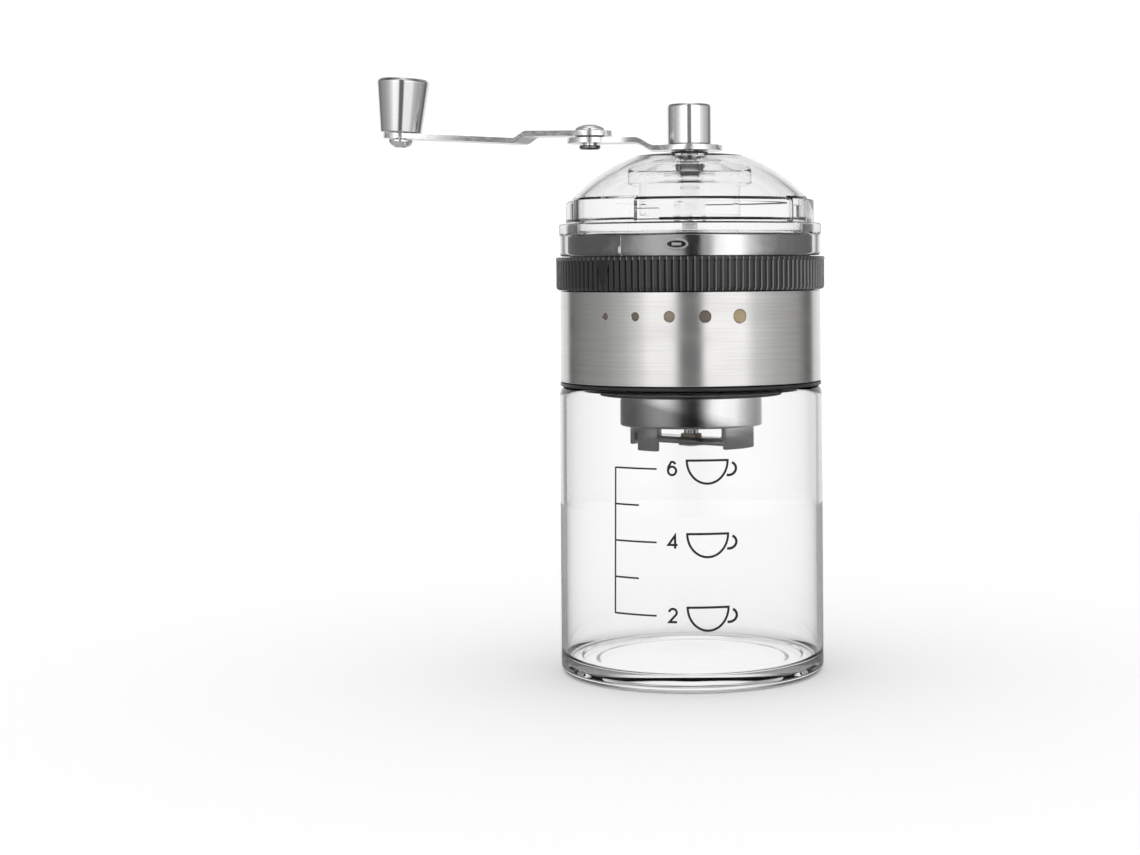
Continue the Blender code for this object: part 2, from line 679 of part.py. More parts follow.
def make_crank(look, crank):
    nut_bottom = ARM_BOTTOM + ARM_THICKNESS + GAP
    spindle = add_object("crank_spindle", turned([
        (0.0, 146.5), (5.4, 146.5, 0.4), (5.4, 153.8), (SPINDLE_RADIUS, 153.8),
        (SPINDLE_RADIUS, 170.5), (0.0, 170.5)], SMALL_SEGMENTS, steps=1), look["steel"], crank)
    join(spindle, turned([(0.0, 169.5), (2.9, 169.5), (2.9, nut_bottom), (1.9, nut_bottom),
                          (1.9, 183.0), (0.0, 183.0)], 4))
    cut(spindle, rod(3.7, 145.5, 153.0, 6))
    add_object("hub_washer", tube(SPINDLE_RADIUS + GAP, 6.1, DOME_TOP + 0.3, ARM_BOTTOM - 0.3),
               look["rubber"], crank)
    knots = [-11.0 - 9.0 * step / 6 for step in range(7)]
    inner = add_object("inner_arm", strip(((0.0, ARM_HUB_RADIUS), (FOLD_X, FOLD_END_RADIUS)),
                                          ARM_HALF_WIDTH, inner_arm_height, knots),
                       look["chrome"], crank)
    cut(inner, rod(3.4, ARM_BOTTOM - 2.0, ARM_BOTTOM + 4.0, 4),
        rod(2.8, ARM_BOTTOM - 2.0, ARM_BOTTOM + 8.0, SMALL_SEGMENTS, (FOLD_X, 0.0)))
    add_object("cap_nut", turned([
        (0.0, CAP_NUT_TOP), (CAP_NUT_RADIUS, CAP_NUT_TOP, 1.0), (CAP_NUT_RADIUS, nut_bottom),
        (2.3, nut_bottom), (2.3, 183.6), (0.0, 183.6)], MEDIUM_SEGMENTS), look["chrome"], crank)


def make_fold_joint(look, crank):
    inner_top = ARM_BOTTOM + ARM_RAISE + ARM_THICKNESS
    outer_bottom = inner_top + 1.2
    head_bottom = outer_bottom + ARM_THICKNESS + GAP
    tail_top = ARM_BOTTOM + ARM_RAISE - GAP
    add_object("fold_rivet", turned([
        (0.0, tail_top - 1.4), (3.5, tail_top - 1.4, 0.5), (3.5, tail_top), (2.4, tail_top),
        (2.4, head_bottom), (5.0, head_bottom), (4.9, head_bottom + 0.7), (4.2, head_bottom + 1.4),
        (2.6, head_bottom + 1.9), (0.0, head_bottom + 2.0)], SMALL_SEGMENTS, (FOLD_X, 0.0), 2),
        look["chrome"], crank)
    add_object("fold_washer", tube(2.8, 5.0, inner_top + 0.3, outer_bottom - 0.3,
                                   SMALL_SEGMENTS, (FOLD_X, 0.0)), look["steel"], crank)
    return outer_bottom + ARM_THICKNESS / 2.0


def make_handle(look, handle):
    knots = [-20.5 - 4.6 * step / 5 for step in range(6)]
    arm = add_object("outer_arm", strip(((0.0, OUTER_END_RADIUS), (-OUTER_LENGTH, KNOB_END_RADIUS)),
                                        OUTER_HALF_WIDTH, outer_arm_height, knots),
                     look["chrome"], handle)
    cut(arm, rod(2.8, -3.0, 3.0), rod(2.1, -6.0, 6.0, SMALL_SEGMENTS, (-OUTER_LENGTH, 0.0)))


def make_knob(look, grip):
    """Everything here stands on the knob's own tilted axis, over the arm's middle plane."""
    arm_face = ARM_THICKNESS / 2.0
    bottom = arm_face + 1.2
    top = bottom + KNOB_HEIGHT
    ledge = top - 3.2
    add_object("knob", turned([
        (3.5, bottom), (KNOB_BOTTOM_RADIUS, bottom, 0.6), (KNOB_TOP_RADIUS, top - 0.9, 0.2),
        (KNOB_TOP_RADIUS - 0.7, top), (5.0, top), (5.0, ledge), (3.5, ledge)],
        MEDIUM_SEGMENTS, steps=1), look["chrome"], grip)
    add_object("knob_cap", turned([(0.0, top - 1.5), (4.7, top - 1.5), (4.7, top - 0.1, 0.3),
                                   (0.0, top - 0.1)], SMALL_SEGMENTS, steps=1), look["chrome"], grip)
    flange = ledge + 0.3
    add_object("knob_sleeve", turned([
        (0.0, flange - 0.6), (1.9, flange - 0.6), (1.9, arm_face + 0.3), (3.1, arm_face + 0.3),
        (3.1, flange), (4.6, flange), (4.6, flange + 0.9), (0.0, flange + 0.9)],
        SMALL_SEGMENTS), look["steel"], grip)
    add_object("knob_washer", tube(3.4, 5.4, arm_face + 0.3, bottom - 0.3), look["steel"], grip)
    head_top = -arm_face - GAP
    screw = add_object("knob_screw", turned([
        (0.0, head_top - 2.4), (1.8, head_top - 2.3), (3.2, head_top - 1.7), (4.0, head_top - 0.8),
        (4.0, head_top), (1.6, head_top), (1.6, 13.0), (0.0, 13.0)], SMALL_SEGMENTS),
        look["steel"], grip)
    cut(screw, bar(2.0, 0.45, head_top - 3.0, head_top - 1.2),
        placed(bar(2.0, 0.45, head_top - 3.0, head_top - 1.2), 90.0))


# ---------------------------------------------------------------- assembly

def make_looks():
    return {
        "glass": material("jar_glass", (0.93, 0.96, 0.96), 0.03, transmission=1.0),
        "clear": material("clear_acrylic", (0.95, 0.95, 0.95), 0.06, transmission=1.0),
        "black": material("black_plastic", (0.02, 0.02, 0.022), 0.35),
        "rubber": material("black_rubber", (0.03, 0.03, 0.03), 0.7),
        "steel": material("brushed_steel", (0.62, 0.61, 0.59), 0.32, 1.0),
        "chrome": material("polished_chrome", (0.8, 0.8, 0.8), 0.08, 1.0),
        "smoke": material("smoked_chrome", (0.18, 0.18, 0.18), 0.25, 0.9),
        "ceramic": material("white_ceramic", (0.85, 0.84, 0.8), 0.4),
        "brass": material("bearing_bronze", (0.6, 0.45, 0.25), 0.35, 1.0),
        "tan": material("scale_insert", (0.32, 0.25, 0.18), 0.5),
    }


def main():
    clear_scene()
    look = make_looks()

    jar = body_frame("jar_frame")
    make_jar(look, jar)

    head = body_frame("head_frame", parent=jar)
    make_collar_and_seal(look, head)
    make_core(look, head)
    make_housing_screws(look, head)
    make_band(look, head)
    make_hopper_collar(look, head)
    make_trim(look, head)
    make_housing(look, head)
    make_bridge(look, head)
    make_detent_spring(look, head)

    make_adjuster_ring(look, body_frame("adjuster_frame", parent=head))
    carrier = body_frame("carrier_frame", parent=head)
    make_funnel(look, carrier)
    make_outer_burr(look, carrier)
    make_carrier_spring(look, carrier)
    make_drive(look, body_frame("drive_frame", parent=head))

    lid = body_frame("lid_frame", parent=head)
    make_lid(look, lid)
    crank = body_frame("crank_frame", parent=lid)
    make_crank(look, crank)
    pivot_height = make_fold_joint(look, crank)
    handle = body_frame("handle_frame", FOLD_X, pivot_height, parent=crank)
    make_handle(look, handle)
    grip = body_frame("grip_frame", -OUTER_LENGTH, outer_arm_height(-OUTER_LENGTH), OUTER_TILT, handle)
    make_knob(look, grip)


main()
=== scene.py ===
"""The looks of a hand crank coffee grinder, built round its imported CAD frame.

Lengths are millimetres, turned into metres where a mesh is made. The front is -Y, and a front
angle is counted from -Y towards +X. Outer sizes and heights are read from the frame.
"""
import json
import math

import bmesh
import bpy
from mathutils import Matrix, Vector


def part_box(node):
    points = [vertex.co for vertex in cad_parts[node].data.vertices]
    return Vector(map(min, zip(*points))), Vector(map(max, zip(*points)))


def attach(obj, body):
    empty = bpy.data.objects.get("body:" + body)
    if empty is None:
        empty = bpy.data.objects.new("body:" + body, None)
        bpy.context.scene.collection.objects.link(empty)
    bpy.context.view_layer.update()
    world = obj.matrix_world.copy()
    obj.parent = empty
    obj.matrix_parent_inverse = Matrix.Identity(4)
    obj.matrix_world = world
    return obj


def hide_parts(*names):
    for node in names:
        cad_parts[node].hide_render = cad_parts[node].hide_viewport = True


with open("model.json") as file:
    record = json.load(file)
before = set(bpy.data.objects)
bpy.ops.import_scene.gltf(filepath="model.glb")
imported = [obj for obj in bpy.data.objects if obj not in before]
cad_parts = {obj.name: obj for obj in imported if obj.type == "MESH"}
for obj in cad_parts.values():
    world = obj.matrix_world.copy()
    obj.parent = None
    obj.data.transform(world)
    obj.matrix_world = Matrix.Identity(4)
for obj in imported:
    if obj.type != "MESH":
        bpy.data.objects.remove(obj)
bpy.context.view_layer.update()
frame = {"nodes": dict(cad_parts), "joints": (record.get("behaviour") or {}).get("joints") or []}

MM = 0.001
FINE = 192                  # segments round the large turned pieces
FINEST = 256                # round the clear shells and the trim band
SMALL = 64                  # round the small ones
CUT = "DIFFERENCE"
JOIN = "UNION"


# ---- frame sizes

class Span:
    """A CAD node's box in millimetres: radius is its reach in +X, low and high its heights."""

    def __init__(self, node):
        low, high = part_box(node)
        self.radius = high[0] / MM
        self.low = low[2] / MM
        self.high = high[2] / MM
        self.half_x = (high[0] - low[0]) / 2.0 / MM


# ---- shape helpers

def on_circle(radius, front_angle, height=0.0):
    turn = math.radians(front_angle)
    return Vector((radius * math.sin(turn), -radius * math.cos(turn), height))


def rounded(corners, steps=4):
    """A profile of (radius, height) points; a third number rounds that corner."""
    points = []
    count = len(corners)
    for index, corner in enumerate(corners):
        here = Vector(corner[:2])
        if len(corner) == 2:
            points.append(here)
            continue
        before = (Vector(corners[index - 1][:2]) - here).normalized()
        after = (Vector(corners[(index + 1) % count][:2]) - here).normalized()
        half = before.angle(after) / 2.0
        reach = corner[2] / math.tan(half)
        start = here + before * reach
        end = here + after * reach
        centre = here + (before + after).normalized() * (corner[2] / math.sin(half))
        for step in range(steps + 1):
            blend = start.lerp(end, step / steps) - centre
            points.append(centre + blend.normalized() * corner[2])
    return points


def held(points, closed):
    """Adds a point near each end of a long straight run, so smooth shading keeps it straight."""
    long_run = 1.5
    hold = 0.35
    after = points[1:] + points[:1] if closed else points[1:]
    kept = []
    for start, end in zip(points, after):
        kept.append(start)
        run = (end - start).length
        if run > long_run:
            kept.append(start.lerp(end, hold / run))
            kept.append(start.lerp(end, 1.0 - hold / run))
    if not closed:
        kept.append(points[-1])
    return kept


def turned(corners, segments=FINE, centre=(0.0, 0.0), steps=4):
    """A solid of revolution; its profile is closed, or starts and ends on the axis."""
    points = rounded(corners, steps)
    on_axis = points[0][0] < 1e-6 and points[-1][0] < 1e-6
    points = held(points, not on_axis)
    bm = bmesh.new()
    rings = []
    for radius, height in points:
        if radius < 1e-6:
            rings.append([bm.verts.new((centre[0], centre[1], height))])
            continue
        rings.append([bm.verts.new((centre[0] + radius * math.cos(math.tau * step / segments),
                                    centre[1] + radius * math.sin(math.tau * step / segments),
                                    height)) for step in range(segments)])
    pairs = list(zip(rings, rings[1:]))
    if not on_axis:
        pairs.append((rings[-1], rings[0]))
    for low, high in pairs:
        for step in range(segments):
            after = (step + 1) % segments
            corner_verts = [low[step % len(low)], low[after % len(low)],
                            high[after % len(high)], high[step % len(high)]]
            unique = list(dict.fromkeys(corner_verts))
            if len(unique) > 2:
                bm.faces.new(unique)
    bmesh.ops.recalc_face_normals(bm, faces=bm.faces)
    return bm


def tube(inner, outer, low, high, edge=0.15, segments=SMALL, centre=(0.0, 0.0)):
    return turned([(inner, low, edge), (outer, low, edge), (outer, high, edge),
                   (inner, high, edge)], segments, centre, 3)


def lofted(loops, closed=False):
    """Skins rings of points; an open run is capped, a closed one meets its start."""
    bm = bmesh.new()
    rings = [[bm.verts.new(point) for point in loop] for loop in loops]
    pairs = list(zip(rings, rings[1:]))
    if closed:
        pairs.append((rings[-1], rings[0]))
    for low, high in pairs:
        for index in range(len(low)):
            after = (index + 1) % len(low)
            bm.faces.new((low[index], low[after], high[after], high[index]))
    if not closed:
        bm.faces.new(rings[0])
        bm.faces.new(rings[-1])
    bmesh.ops.recalc_face_normals(bm, faces=bm.faces)
    return bm


def arc_block(inner, outer, low, high, start, end, steps=24):
    """A curved bar between two front angles."""
    loops = []
    for step in range(steps + 1):
        angle = start + (end - start) * step / steps
        loops.append([on_circle(inner, angle, low), on_circle(outer, angle, low),
                      on_circle(outer, angle, high), on_circle(inner, angle, high)])
    return lofted(loops)


def bar(half_length, half_width, low, high):
    return lofted([[Vector((x, y, z)) for x, y in (
        (-half_length, -half_width), (half_length, -half_width),
        (half_length, half_width), (-half_length, half_width))] for z in (low, high)])


def placed(bm, front_angle=0.0, tilt=None, offset=(0.0, 0.0, 0.0)):
    """Tilts a solid, moves it, then turns it about the grinder's axis."""
    matrix = Matrix.Rotation(math.radians(front_angle), 4, "Z") @ Matrix.Translation(offset)
    if tilt is not None:
        matrix = matrix @ tilt
    bmesh.ops.transform(bm, matrix=matrix, verts=bm.verts)
    return bm


def radial(bm, front_angle, height):
    """Lays a solid's +Z along the outward direction at a front angle."""
    return placed(bm, front_angle, Matrix.Rotation(math.radians(90.0), 4, "X"), (0.0, 0.0, height))


def merged(*solids):
    """Several solids in one mesh, left as they are."""
    whole = bmesh.new()
    for solid in solids:
        mesh = bpy.data.meshes.new("part")
        solid.to_mesh(mesh)
        solid.free()
        whole.from_mesh(mesh)
        bpy.data.meshes.remove(mesh)
    return whole


def shaped(bm, modifiers=(), tools=()):
    """Runs modifiers and Booleans on a solid and returns the result; nothing stays behind."""
    scratch = []

    def scratch_object(solid):
        mesh = bpy.data.meshes.new("scratch")
        solid.to_mesh(mesh)
        solid.free()
        made = bpy.data.objects.new("scratch", mesh)
        bpy.context.collection.objects.link(made)
        scratch.append(made)
        return made

    target = scratch_object(bm)
    for kind, values in modifiers:
        step = target.modifiers.new(kind, kind)
        for key, value in values.items():
            setattr(step, key, value)
    for operation, solid in tools:
        step = target.modifiers.new("tool", "BOOLEAN")
        step.operation = operation
        step.solver = "EXACT"
        step.object = scratch_object(solid)
    evaluated = target.evaluated_get(bpy.context.evaluated_depsgraph_get())
    mesh = bpy.data.meshes.new_from_object(evaluated)
    result = bmesh.new()
    result.from_mesh(mesh)
    bpy.data.meshes.remove(mesh)
    for item in scratch:
        old = item.data
        bpy.data.objects.remove(item, do_unlink=True)
        bpy.data.meshes.remove(old)
    return result


def beveled(bm, width, segments=3, angle=38.0):
    return shaped(bm, [("BEVEL", {"width": width, "segments": segments, "limit_method": "ANGLE",
                                  "angle_limit": math.radians(angle)})])


def piece(name, bm, look, body, nodes=(), crease=34.0, place=None):
    """Makes a named piece in metres that rides on a body and stands for CAD nodes."""
    bmesh.ops.scale(bm, vec=(MM, MM, MM), verts=bm.verts)
    if place is not None:
        bmesh.ops.transform(bm, matrix=place, verts=bm.verts)
    mesh = bpy.data.meshes.new(name)
    bm.to_mesh(mesh)
    bm.free()
    mesh.shade_smooth()
    mesh.set_sharp_from_angle(angle=math.radians(crease))
    mesh.materials.append(LOOK[look])
    made = bpy.data.objects.new(name, mesh)
    bpy.context.collection.objects.link(made)
    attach(made, body)
    if nodes:
        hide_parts(*nodes)
    return made


def round_normals(made):
    """Points the normals of the upright outside faces straight out from the axis."""
    mesh = made.data
    normals = [Vector(corner.vector) for corner in mesh.corner_normals]
    for face in mesh.polygons:
        outward = Vector((face.center.x, face.center.y, 0.0)).normalized()
        if face.normal.dot(outward) < 0.99:
            continue
        for index in face.loop_indices:
            point = mesh.vertices[mesh.loops[index].vertex_index].co
            normals[index] = Vector((point.x, point.y, 0.0)).normalized()
    mesh.normals_split_custom_set(normals)


# ---- materials

class Tree:
    """A short way to build a node tree."""

    def __init__(self, tree):
        self.tree = tree

    def add(self, kind, **values):
        node = self.tree.nodes.new(kind)
        for key, value in values.items():
            setattr(node, key, value)
        return node

    def link(self, source, target):
        self.tree.links.new(source, target)

    def fill(self, node, **values):
        """Sets a node's inputs to numbers, or links them to other nodes' outputs."""
        for key, value in values.items():
            socket = node.inputs[key.replace("_", " ")]
            if isinstance(value, bpy.types.NodeSocket):
                self.link(value, socket)
            else:
                socket.default_value = value
        return node

    def calculate(self, operation, *values):
        node = self.add("ShaderNodeMath", operation=operation)
        for socket, value in zip(node.inputs, values):
            if isinstance(value, float):
                socket.default_value = value
            else:
                self.link(value, socket)
        return node.outputs[0]

    def axes(self, kind="Object"):
        """The three parts of a texture coordinate."""
        split = self.add("ShaderNodeSeparateXYZ")
        self.link(self.add("ShaderNodeTexCoord").outputs[kind], split.inputs[0])
        return split.outputs

    def front_angle(self, axes):
        """The angle round the upright axis in radians, from the front towards +X."""
        return self.calculate("ARCTAN2", axes["X"], self.calculate("MULTIPLY", axes["Y"], -1.0))

    def ranged(self, source, low, high, start=0.3, end=0.7):
        """Takes the range from start to end to the range from low to high."""
        node = self.fill(self.add("ShaderNodeMapRange"), From_Min=start, From_Max=end, To_Min=low,
                         To_Max=high, Value=source)
        return node.outputs["Result"]

    def mixed(self, share, first, second, blend="MIX"):
        """A mix of two colours; a plain number stands for a grey."""
        greys = [(value, value, value, 1.0) if isinstance(value, float) else value
                 for value in (first, second)]
        node = self.add("ShaderNodeMix", data_type="RGBA", blend_type=blend)
        return self.fill(node, Factor=share, A=greys[0], B=greys[1]).outputs["Result"]

    def grey_ramp(self, source, stops):
        """A ramp of greys; each stop is a position and a tone."""
        node = self.fill(self.add("ShaderNodeValToRGB"), Fac=source)
        elements = node.color_ramp.elements
        while len(elements) < len(stops):
            elements.new(0.5)
        for element, (position, tone) in zip(elements, stops):
            element.position = position
            element.color = (tone, tone, tone, 1.0)
        return node.outputs["Color"]


class Look(Tree):
    """One material's node tree round its Principled shader."""

    def __init__(self, name):
        self.material = bpy.data.materials.new(name)
        self.material.use_nodes = True
        super().__init__(self.material.node_tree)
        self.shader = self.tree.nodes["Principled BSDF"]

    def set(self, **values):
        names = {"colour": "Base Color", "rough": "Roughness", "metal": "Metallic", "ior": "IOR",
                 "clear": "Transmission Weight", "aniso": "Anisotropic",
                 "turn": "Anisotropic Rotation", "specular": "Specular IOR Level"}
        for key, value in values.items():
            if key == "colour":
                value = (*value, 1.0)
            self.shader.inputs[names[key]].default_value = value
        return self

    def noise(self, stretch, detail=3.0, roughness=0.55):
        """Noise over object coordinates in metres, times a factor along each axis."""
        scale = self.add("ShaderNodeVectorMath", operation="MULTIPLY")
        scale.inputs[1].default_value = stretch
        self.link(self.add("ShaderNodeTexCoord").outputs["Object"], scale.inputs[0])
        node = self.fill(self.add("ShaderNodeTexNoise"), Scale=1.0, Detail=detail,
                         Roughness=roughness, Vector=scale.outputs[0])
        return node.outputs["Fac"]

    def vary_roughness(self, source, low, high):
        self.fill(self.shader, Roughness=self.ranged(source, low, high))

    def vary_colour(self, source, dark, light):
        node = self.fill(self.add("ShaderNodeValToRGB"), Fac=source)
        for element, position, colour in zip(node.color_ramp.elements, (0.3, 0.7), (dark, light)):
            element.position = position
            element.color = (*colour, 1.0)
        self.fill(self.shader, Base_Color=node.outputs["Color"])

    def bump(self, source, strength, distance):
        node = self.fill(self.add("ShaderNodeBump"), Strength=strength, Distance=distance,
                         Height=source)
        self.fill(self.shader, Normal=node.outputs["Normal"])

    def tangent_round_z(self):
        node = self.add("ShaderNodeTangent", direction_type="RADIAL", axis="Z")
        self.fill(self.shader, Tangent=node.outputs["Tangent"])
        return self


def brushed_band():
    """Steel brushed round the band: fine level lines that drift a little in tone."""
    made = Look("brushed_band").set(metal=1.0, aniso=0.75, turn=0.25)
    lines = made.noise((25.0, 25.0, 5200.0), 4.0, 0.7)
    drift = made.noise((40.0, 40.0, 160.0), 2.0)
    made.vary_colour(lines, (0.60, 0.592, 0.58), (0.72, 0.715, 0.705))
    made.vary_roughness(drift, 0.2, 0.27)
    made.bump(lines, 0.12, 0.00002)
    return made.tangent_round_z().material


def polished(name, colour, low, high):
    """Plated metal with faint polishing marks and a few softer patches."""
    made = Look(name).set(metal=1.0, colour=colour)
    patches = made.noise((300.0, 300.0, 260.0), 4.0)
    fine = made.noise((2600.0, 2600.0, 2600.0), 2.0)
    made.vary_roughness(patches, low, high)
    made.bump(fine, 0.03, 0.00001)
    return made.material


def turned_metal(name, colour, low, high):
    """Metal finished on a lathe, with fine rings along its height."""
    made = Look(name).set(metal=1.0, aniso=0.45, turn=0.25, colour=colour)
    rings = made.noise((60.0, 60.0, 6500.0), 3.0, 0.65)
    made.vary_roughness(rings, low, high)
    made.bump(rings, 0.06, 0.00001)
    return made.tangent_round_z().material


def smoked_chrome():
    """Dark plating on the burr cup, with a painted highlight that is brighter on one side and up by the
    flange, and a painted shadow just under the flange.
    """
    made = Look("smoked_chrome").set(metal=1.0, aniso=0.6, turn=0.25)
    slope = made.add("ShaderNodeVectorMath", operation="DOT_PRODUCT")
    slope.inputs[1].default_value = (0.3, 0.0, 1.0)
    made.link(made.add("ShaderNodeTexCoord").outputs["Object"], slope.inputs[0])
    rise = made.ranged(slope.outputs["Value"], 0.0, 1.0, 0.070, 0.094)
    # Painted highlight: the colour runs from dark to pale along a slant, paler towards +X and upwards,
    # standing in for the soft boxes' reflections.
    tone = made.grey_ramp(rise, (
        (0.0, 0.17), (0.30, 0.19), (0.56, 0.24), (0.66, 0.56), (0.74, 0.68), (1.0, 0.70)))
    # Painted shadow: the colour is darkened just under the flange, where its shade falls.
    shade = made.ranged(made.axes()["Z"], 1.0, 0.2, 0.0908, 0.0925)
    made.fill(made.shader, Base_Color=made.mixed(1.0, tone, shade, "MULTIPLY"))
    rings = made.noise((30.0, 30.0, 900.0), 2.0, 0.5)
    made.vary_roughness(rings, 0.10, 0.13)
    made.bump(rings, 0.02, 0.000004)
    return made.tangent_round_z().material


def stamped_steel():
    """The arms: tumbled sheet steel with lengthwise polish and faint scratches."""
    made = Look("stamped_steel").set(metal=1.0)
    grain = made.noise((500.0, 3800.0, 1800.0), 4.0, 0.65)
    wear = made.noise((180.0, 260.0, 260.0), 3.0)
    made.vary_colour(wear, (0.72, 0.715, 0.70), (0.86, 0.86, 0.855))
    made.vary_roughness(grain, 0.14, 0.3)
    made.bump(grain, 0.1, 0.00002)
    return made.material


def moulded(name, dark, light, low, high, strength=0.12):
    """Moulded plastic with a fine grain."""
    made = Look(name).set(ior=1.5)
    grain = made.noise((3200.0, 3200.0, 3200.0), 2.0)
    patches = made.noise((140.0, 140.0, 140.0), 3.0)
    made.vary_colour(patches, dark, light)
    made.vary_roughness(patches, low, high)
    made.bump(grain, strength, 0.00003)
    return made.material


def ribbed_plastic():
    """Black plastic with a painted highlight along one shoulder of each rib and painted shade in the
    grooves.
    """
    made = Look("ring_plastic").set(ior=1.5)
    pitch = made.calculate("MULTIPLY", made.front_angle(made.axes()), RIBS / math.tau)
    # Painted shade darkens each groove (0.36 to 0.60); a painted highlight lightens the shoulder just past
    # it (0.63 to 0.70).
    tone = made.grey_ramp(made.calculate("FRACT", pitch), (
        (0.0, 0.020), (0.28, 0.018), (0.36, 0.003), (0.60, 0.003), (0.63, 0.24), (0.70, 0.20),
        (0.76, 0.024), (1.0, 0.020)))
    made.fill(made.shader, Base_Color=tone)
    grain = made.noise((900.0, 900.0, 300.0), 3.0)
    made.vary_roughness(grain, 0.28, 0.42)
    made.bump(grain, 0.06, 0.00003)
    return made.material


def clear(name, colour, ior, low, high, ripple=0.0):
    """Glass or clear plastic, with smears that only the highlights show."""
    made = Look(name).set(clear=1.0, ior=ior, colour=colour)
    smears = made.noise((70.0, 70.0, 45.0), 4.0)
    made.vary_roughness(smears, low, high)
    if ripple:
        made.bump(made.noise((38.0, 38.0, 26.0), 1.0), ripple, 0.0004)
    return made.material


def ceramic():
    made = Look("burr_ceramic").set(ior=1.55)
    grain = made.noise((1500.0, 1500.0, 1500.0), 3.0)
    stain = made.noise((220.0, 220.0, 220.0), 4.0)
    made.vary_colour(stain, (0.66, 0.64, 0.59), (0.84, 0.83, 0.79))
    made.vary_roughness(grain, 0.35, 0.55)
    made.bump(grain, 0.25, 0.00003)
    return made.material


def ink():
    made = Look("scale_ink").set(ior=1.45)
    grain = made.noise((1800.0, 1800.0, 1800.0), 2.0)
    made.vary_colour(grain, (0.008, 0.008, 0.009), (0.018, 0.018, 0.02))
    made.vary_roughness(grain, 0.45, 0.6)
    made.bump(grain, 0.08, 0.00001)
    return made.material


RIBS = 126                  # round the adjuster ring

LOOK = {
    "glass": clear("jar_glass", (0.985, 0.987, 0.987), 1.33, 0.0, 0.02, 0.10),
    "clear": clear("clear_plastic", (0.99, 0.99, 0.99), 1.22, 0.0, 0.02),
    "clear_hub": clear("clear_plastic_hub", (0.99, 0.99, 0.99), 1.14, 0.0, 0.03),
    "band": brushed_band(),
    "chrome": polished("polished_chrome", (0.83, 0.83, 0.83), 0.06, 0.12),
    "catch": polished("catch_chrome", (0.97, 0.97, 0.97), 0.42, 0.5),
    "trim": polished("trim_chrome", (0.66, 0.66, 0.67), 0.08, 0.15),
    # The smoke look has a painted highlight and a painted shadow in its colour.
    "smoke": smoked_chrome(),
    "turned": turned_metal("turned_chrome", (0.83, 0.83, 0.825), 0.1, 0.17),
    "knob": turned_metal("knob_chrome", (0.74, 0.74, 0.735), 0.1, 0.17),
    "spindle": turned_metal("spindle_steel", (0.98, 0.98, 0.975), 0.1, 0.2),
    "arm": stamped_steel(),
    "steel": turned_metal("shaft_steel", (0.66, 0.66, 0.65), 0.16, 0.3),
    # Painted shade: this steel is darkened to stand for the shade in the fold joint, on the washer and the
    # rivet's tail.
    "painted_shade_steel": turned_metal("steel_darkened_for_shade", (0.22, 0.22, 0.22), 0.25, 0.4),
    "black": moulded("black_plastic", (0.010, 0.010, 0.011), (0.018, 0.018, 0.019), 0.3, 0.42),
    "ring": ribbed_plastic(),
    "pointer": moulded("pointer_plastic", (0.006, 0.006, 0.006), (0.01, 0.01, 0.01), 0.2, 0.3, 0.03),
    "rubber": moulded("seal_rubber", (0.018, 0.018, 0.018), (0.032, 0.032, 0.031), 0.3, 0.42, 0.08),
    "insert_dark": moulded("scale_insert_dark", (0.10, 0.078, 0.06), (0.15, 0.118, 0.09), 0.4, 0.55,
                           0.15),
    "insert": moulded("scale_insert", (0.20, 0.155, 0.11), (0.29, 0.235, 0.17), 0.4, 0.55, 0.15),
    "gold": moulded("scale_insert_light", (0.29, 0.215, 0.12), (0.40, 0.31, 0.18), 0.4, 0.55, 0.15),
    "ceramic": ceramic(),
    "bronze": turned_metal("bearing_bronze", (0.50, 0.44, 0.36), 0.3, 0.45),
    "ink": ink(),
}


# ---- jar and its scale

JAR = Span("glass_jar")
JAR_WALL = 1.9
JAR_FLOOR = 5.0


def make_jar():
    inner = JAR.radius - JAR_WALL
    lip = inner + 0.4
    shoulder = 3.0
    profile = [(0.0, 0.7), (30.6, 0.7, 0.6), (31.8, 0.0, 0.5), (JAR.radius, 0.0, 2.4)]
    for step in range(9):
        turn = math.radians(90.0 * step / 8)
        profile.append((lip + (JAR.radius - lip) * math.cos(turn),
                        JAR.high - shoulder + shoulder * math.sin(turn)))
    profile += [(inner, JAR.high, 0.35), (inner, JAR_FLOOR, 2.2), (36.5, JAR_FLOOR, 0.8),
                (35.8, JAR_FLOOR - 0.35, 0.8), (0.0, JAR_FLOOR - 0.5)]
    piece("jar", turned(profile, FINEST, steps=6), "glass", "jar",
          ["glass_jar"])


def stroke(path, width, closed=False):
    """A flat printed line along a path of (arc, height) points, bent round the jar."""
    lift_low = 0.012
    lift_high = 0.05
    fine = []
    count = len(path)
    runs = count if closed else count - 1
    for index in range(runs):
        start = Vector(path[index])
        end = Vector(path[(index + 1) % count])
        pieces = max(1, math.ceil((end - start).length / 0.8))
        fine += [start.lerp(end, step / pieces) for step in range(pieces)]
    if not closed:
        fine.append(Vector(path[-1]))
    loops = []
    total = len(fine)
    for index, point in enumerate(fine):
        before = fine[index - 1] if closed or index else point
        after = fine[(index + 1) % total] if closed or index < total - 1 else point
        into = (point - before).normalized() if point != before else None
        out = (after - point).normalized() if point != after else None
        heading = ((into or out) + (out or into)).normalized()
        side = Vector((-heading.y, heading.x))
        corner = max(0.35, side.dot(Vector((-(into or out).y, (into or out).x))))
        reach = side * (width / 2.0 / corner)
        ring = []
        for offset, lift in ((-1.0, lift_low), (1.0, lift_low), (1.0, lift_high), (-1.0, lift_high)):
            spot = point + reach * offset
            ring.append(on_circle(JAR.radius + lift, math.degrees(spot.x / JAR.radius), spot.y))
        loops.append(ring)
    return lofted(loops, closed)


def arc_points(centre, radii, start, end, steps):
    """Points of an ellipse's arc between two angles in degrees, counted from its right."""
    points = []
    for step in range(steps + 1):
        angle = math.radians(start + (end - start) * step / steps)
        points.append((centre[0] + radii[0] * math.cos(angle),
                       centre[1] + radii[1] * math.sin(angle)))
    return points


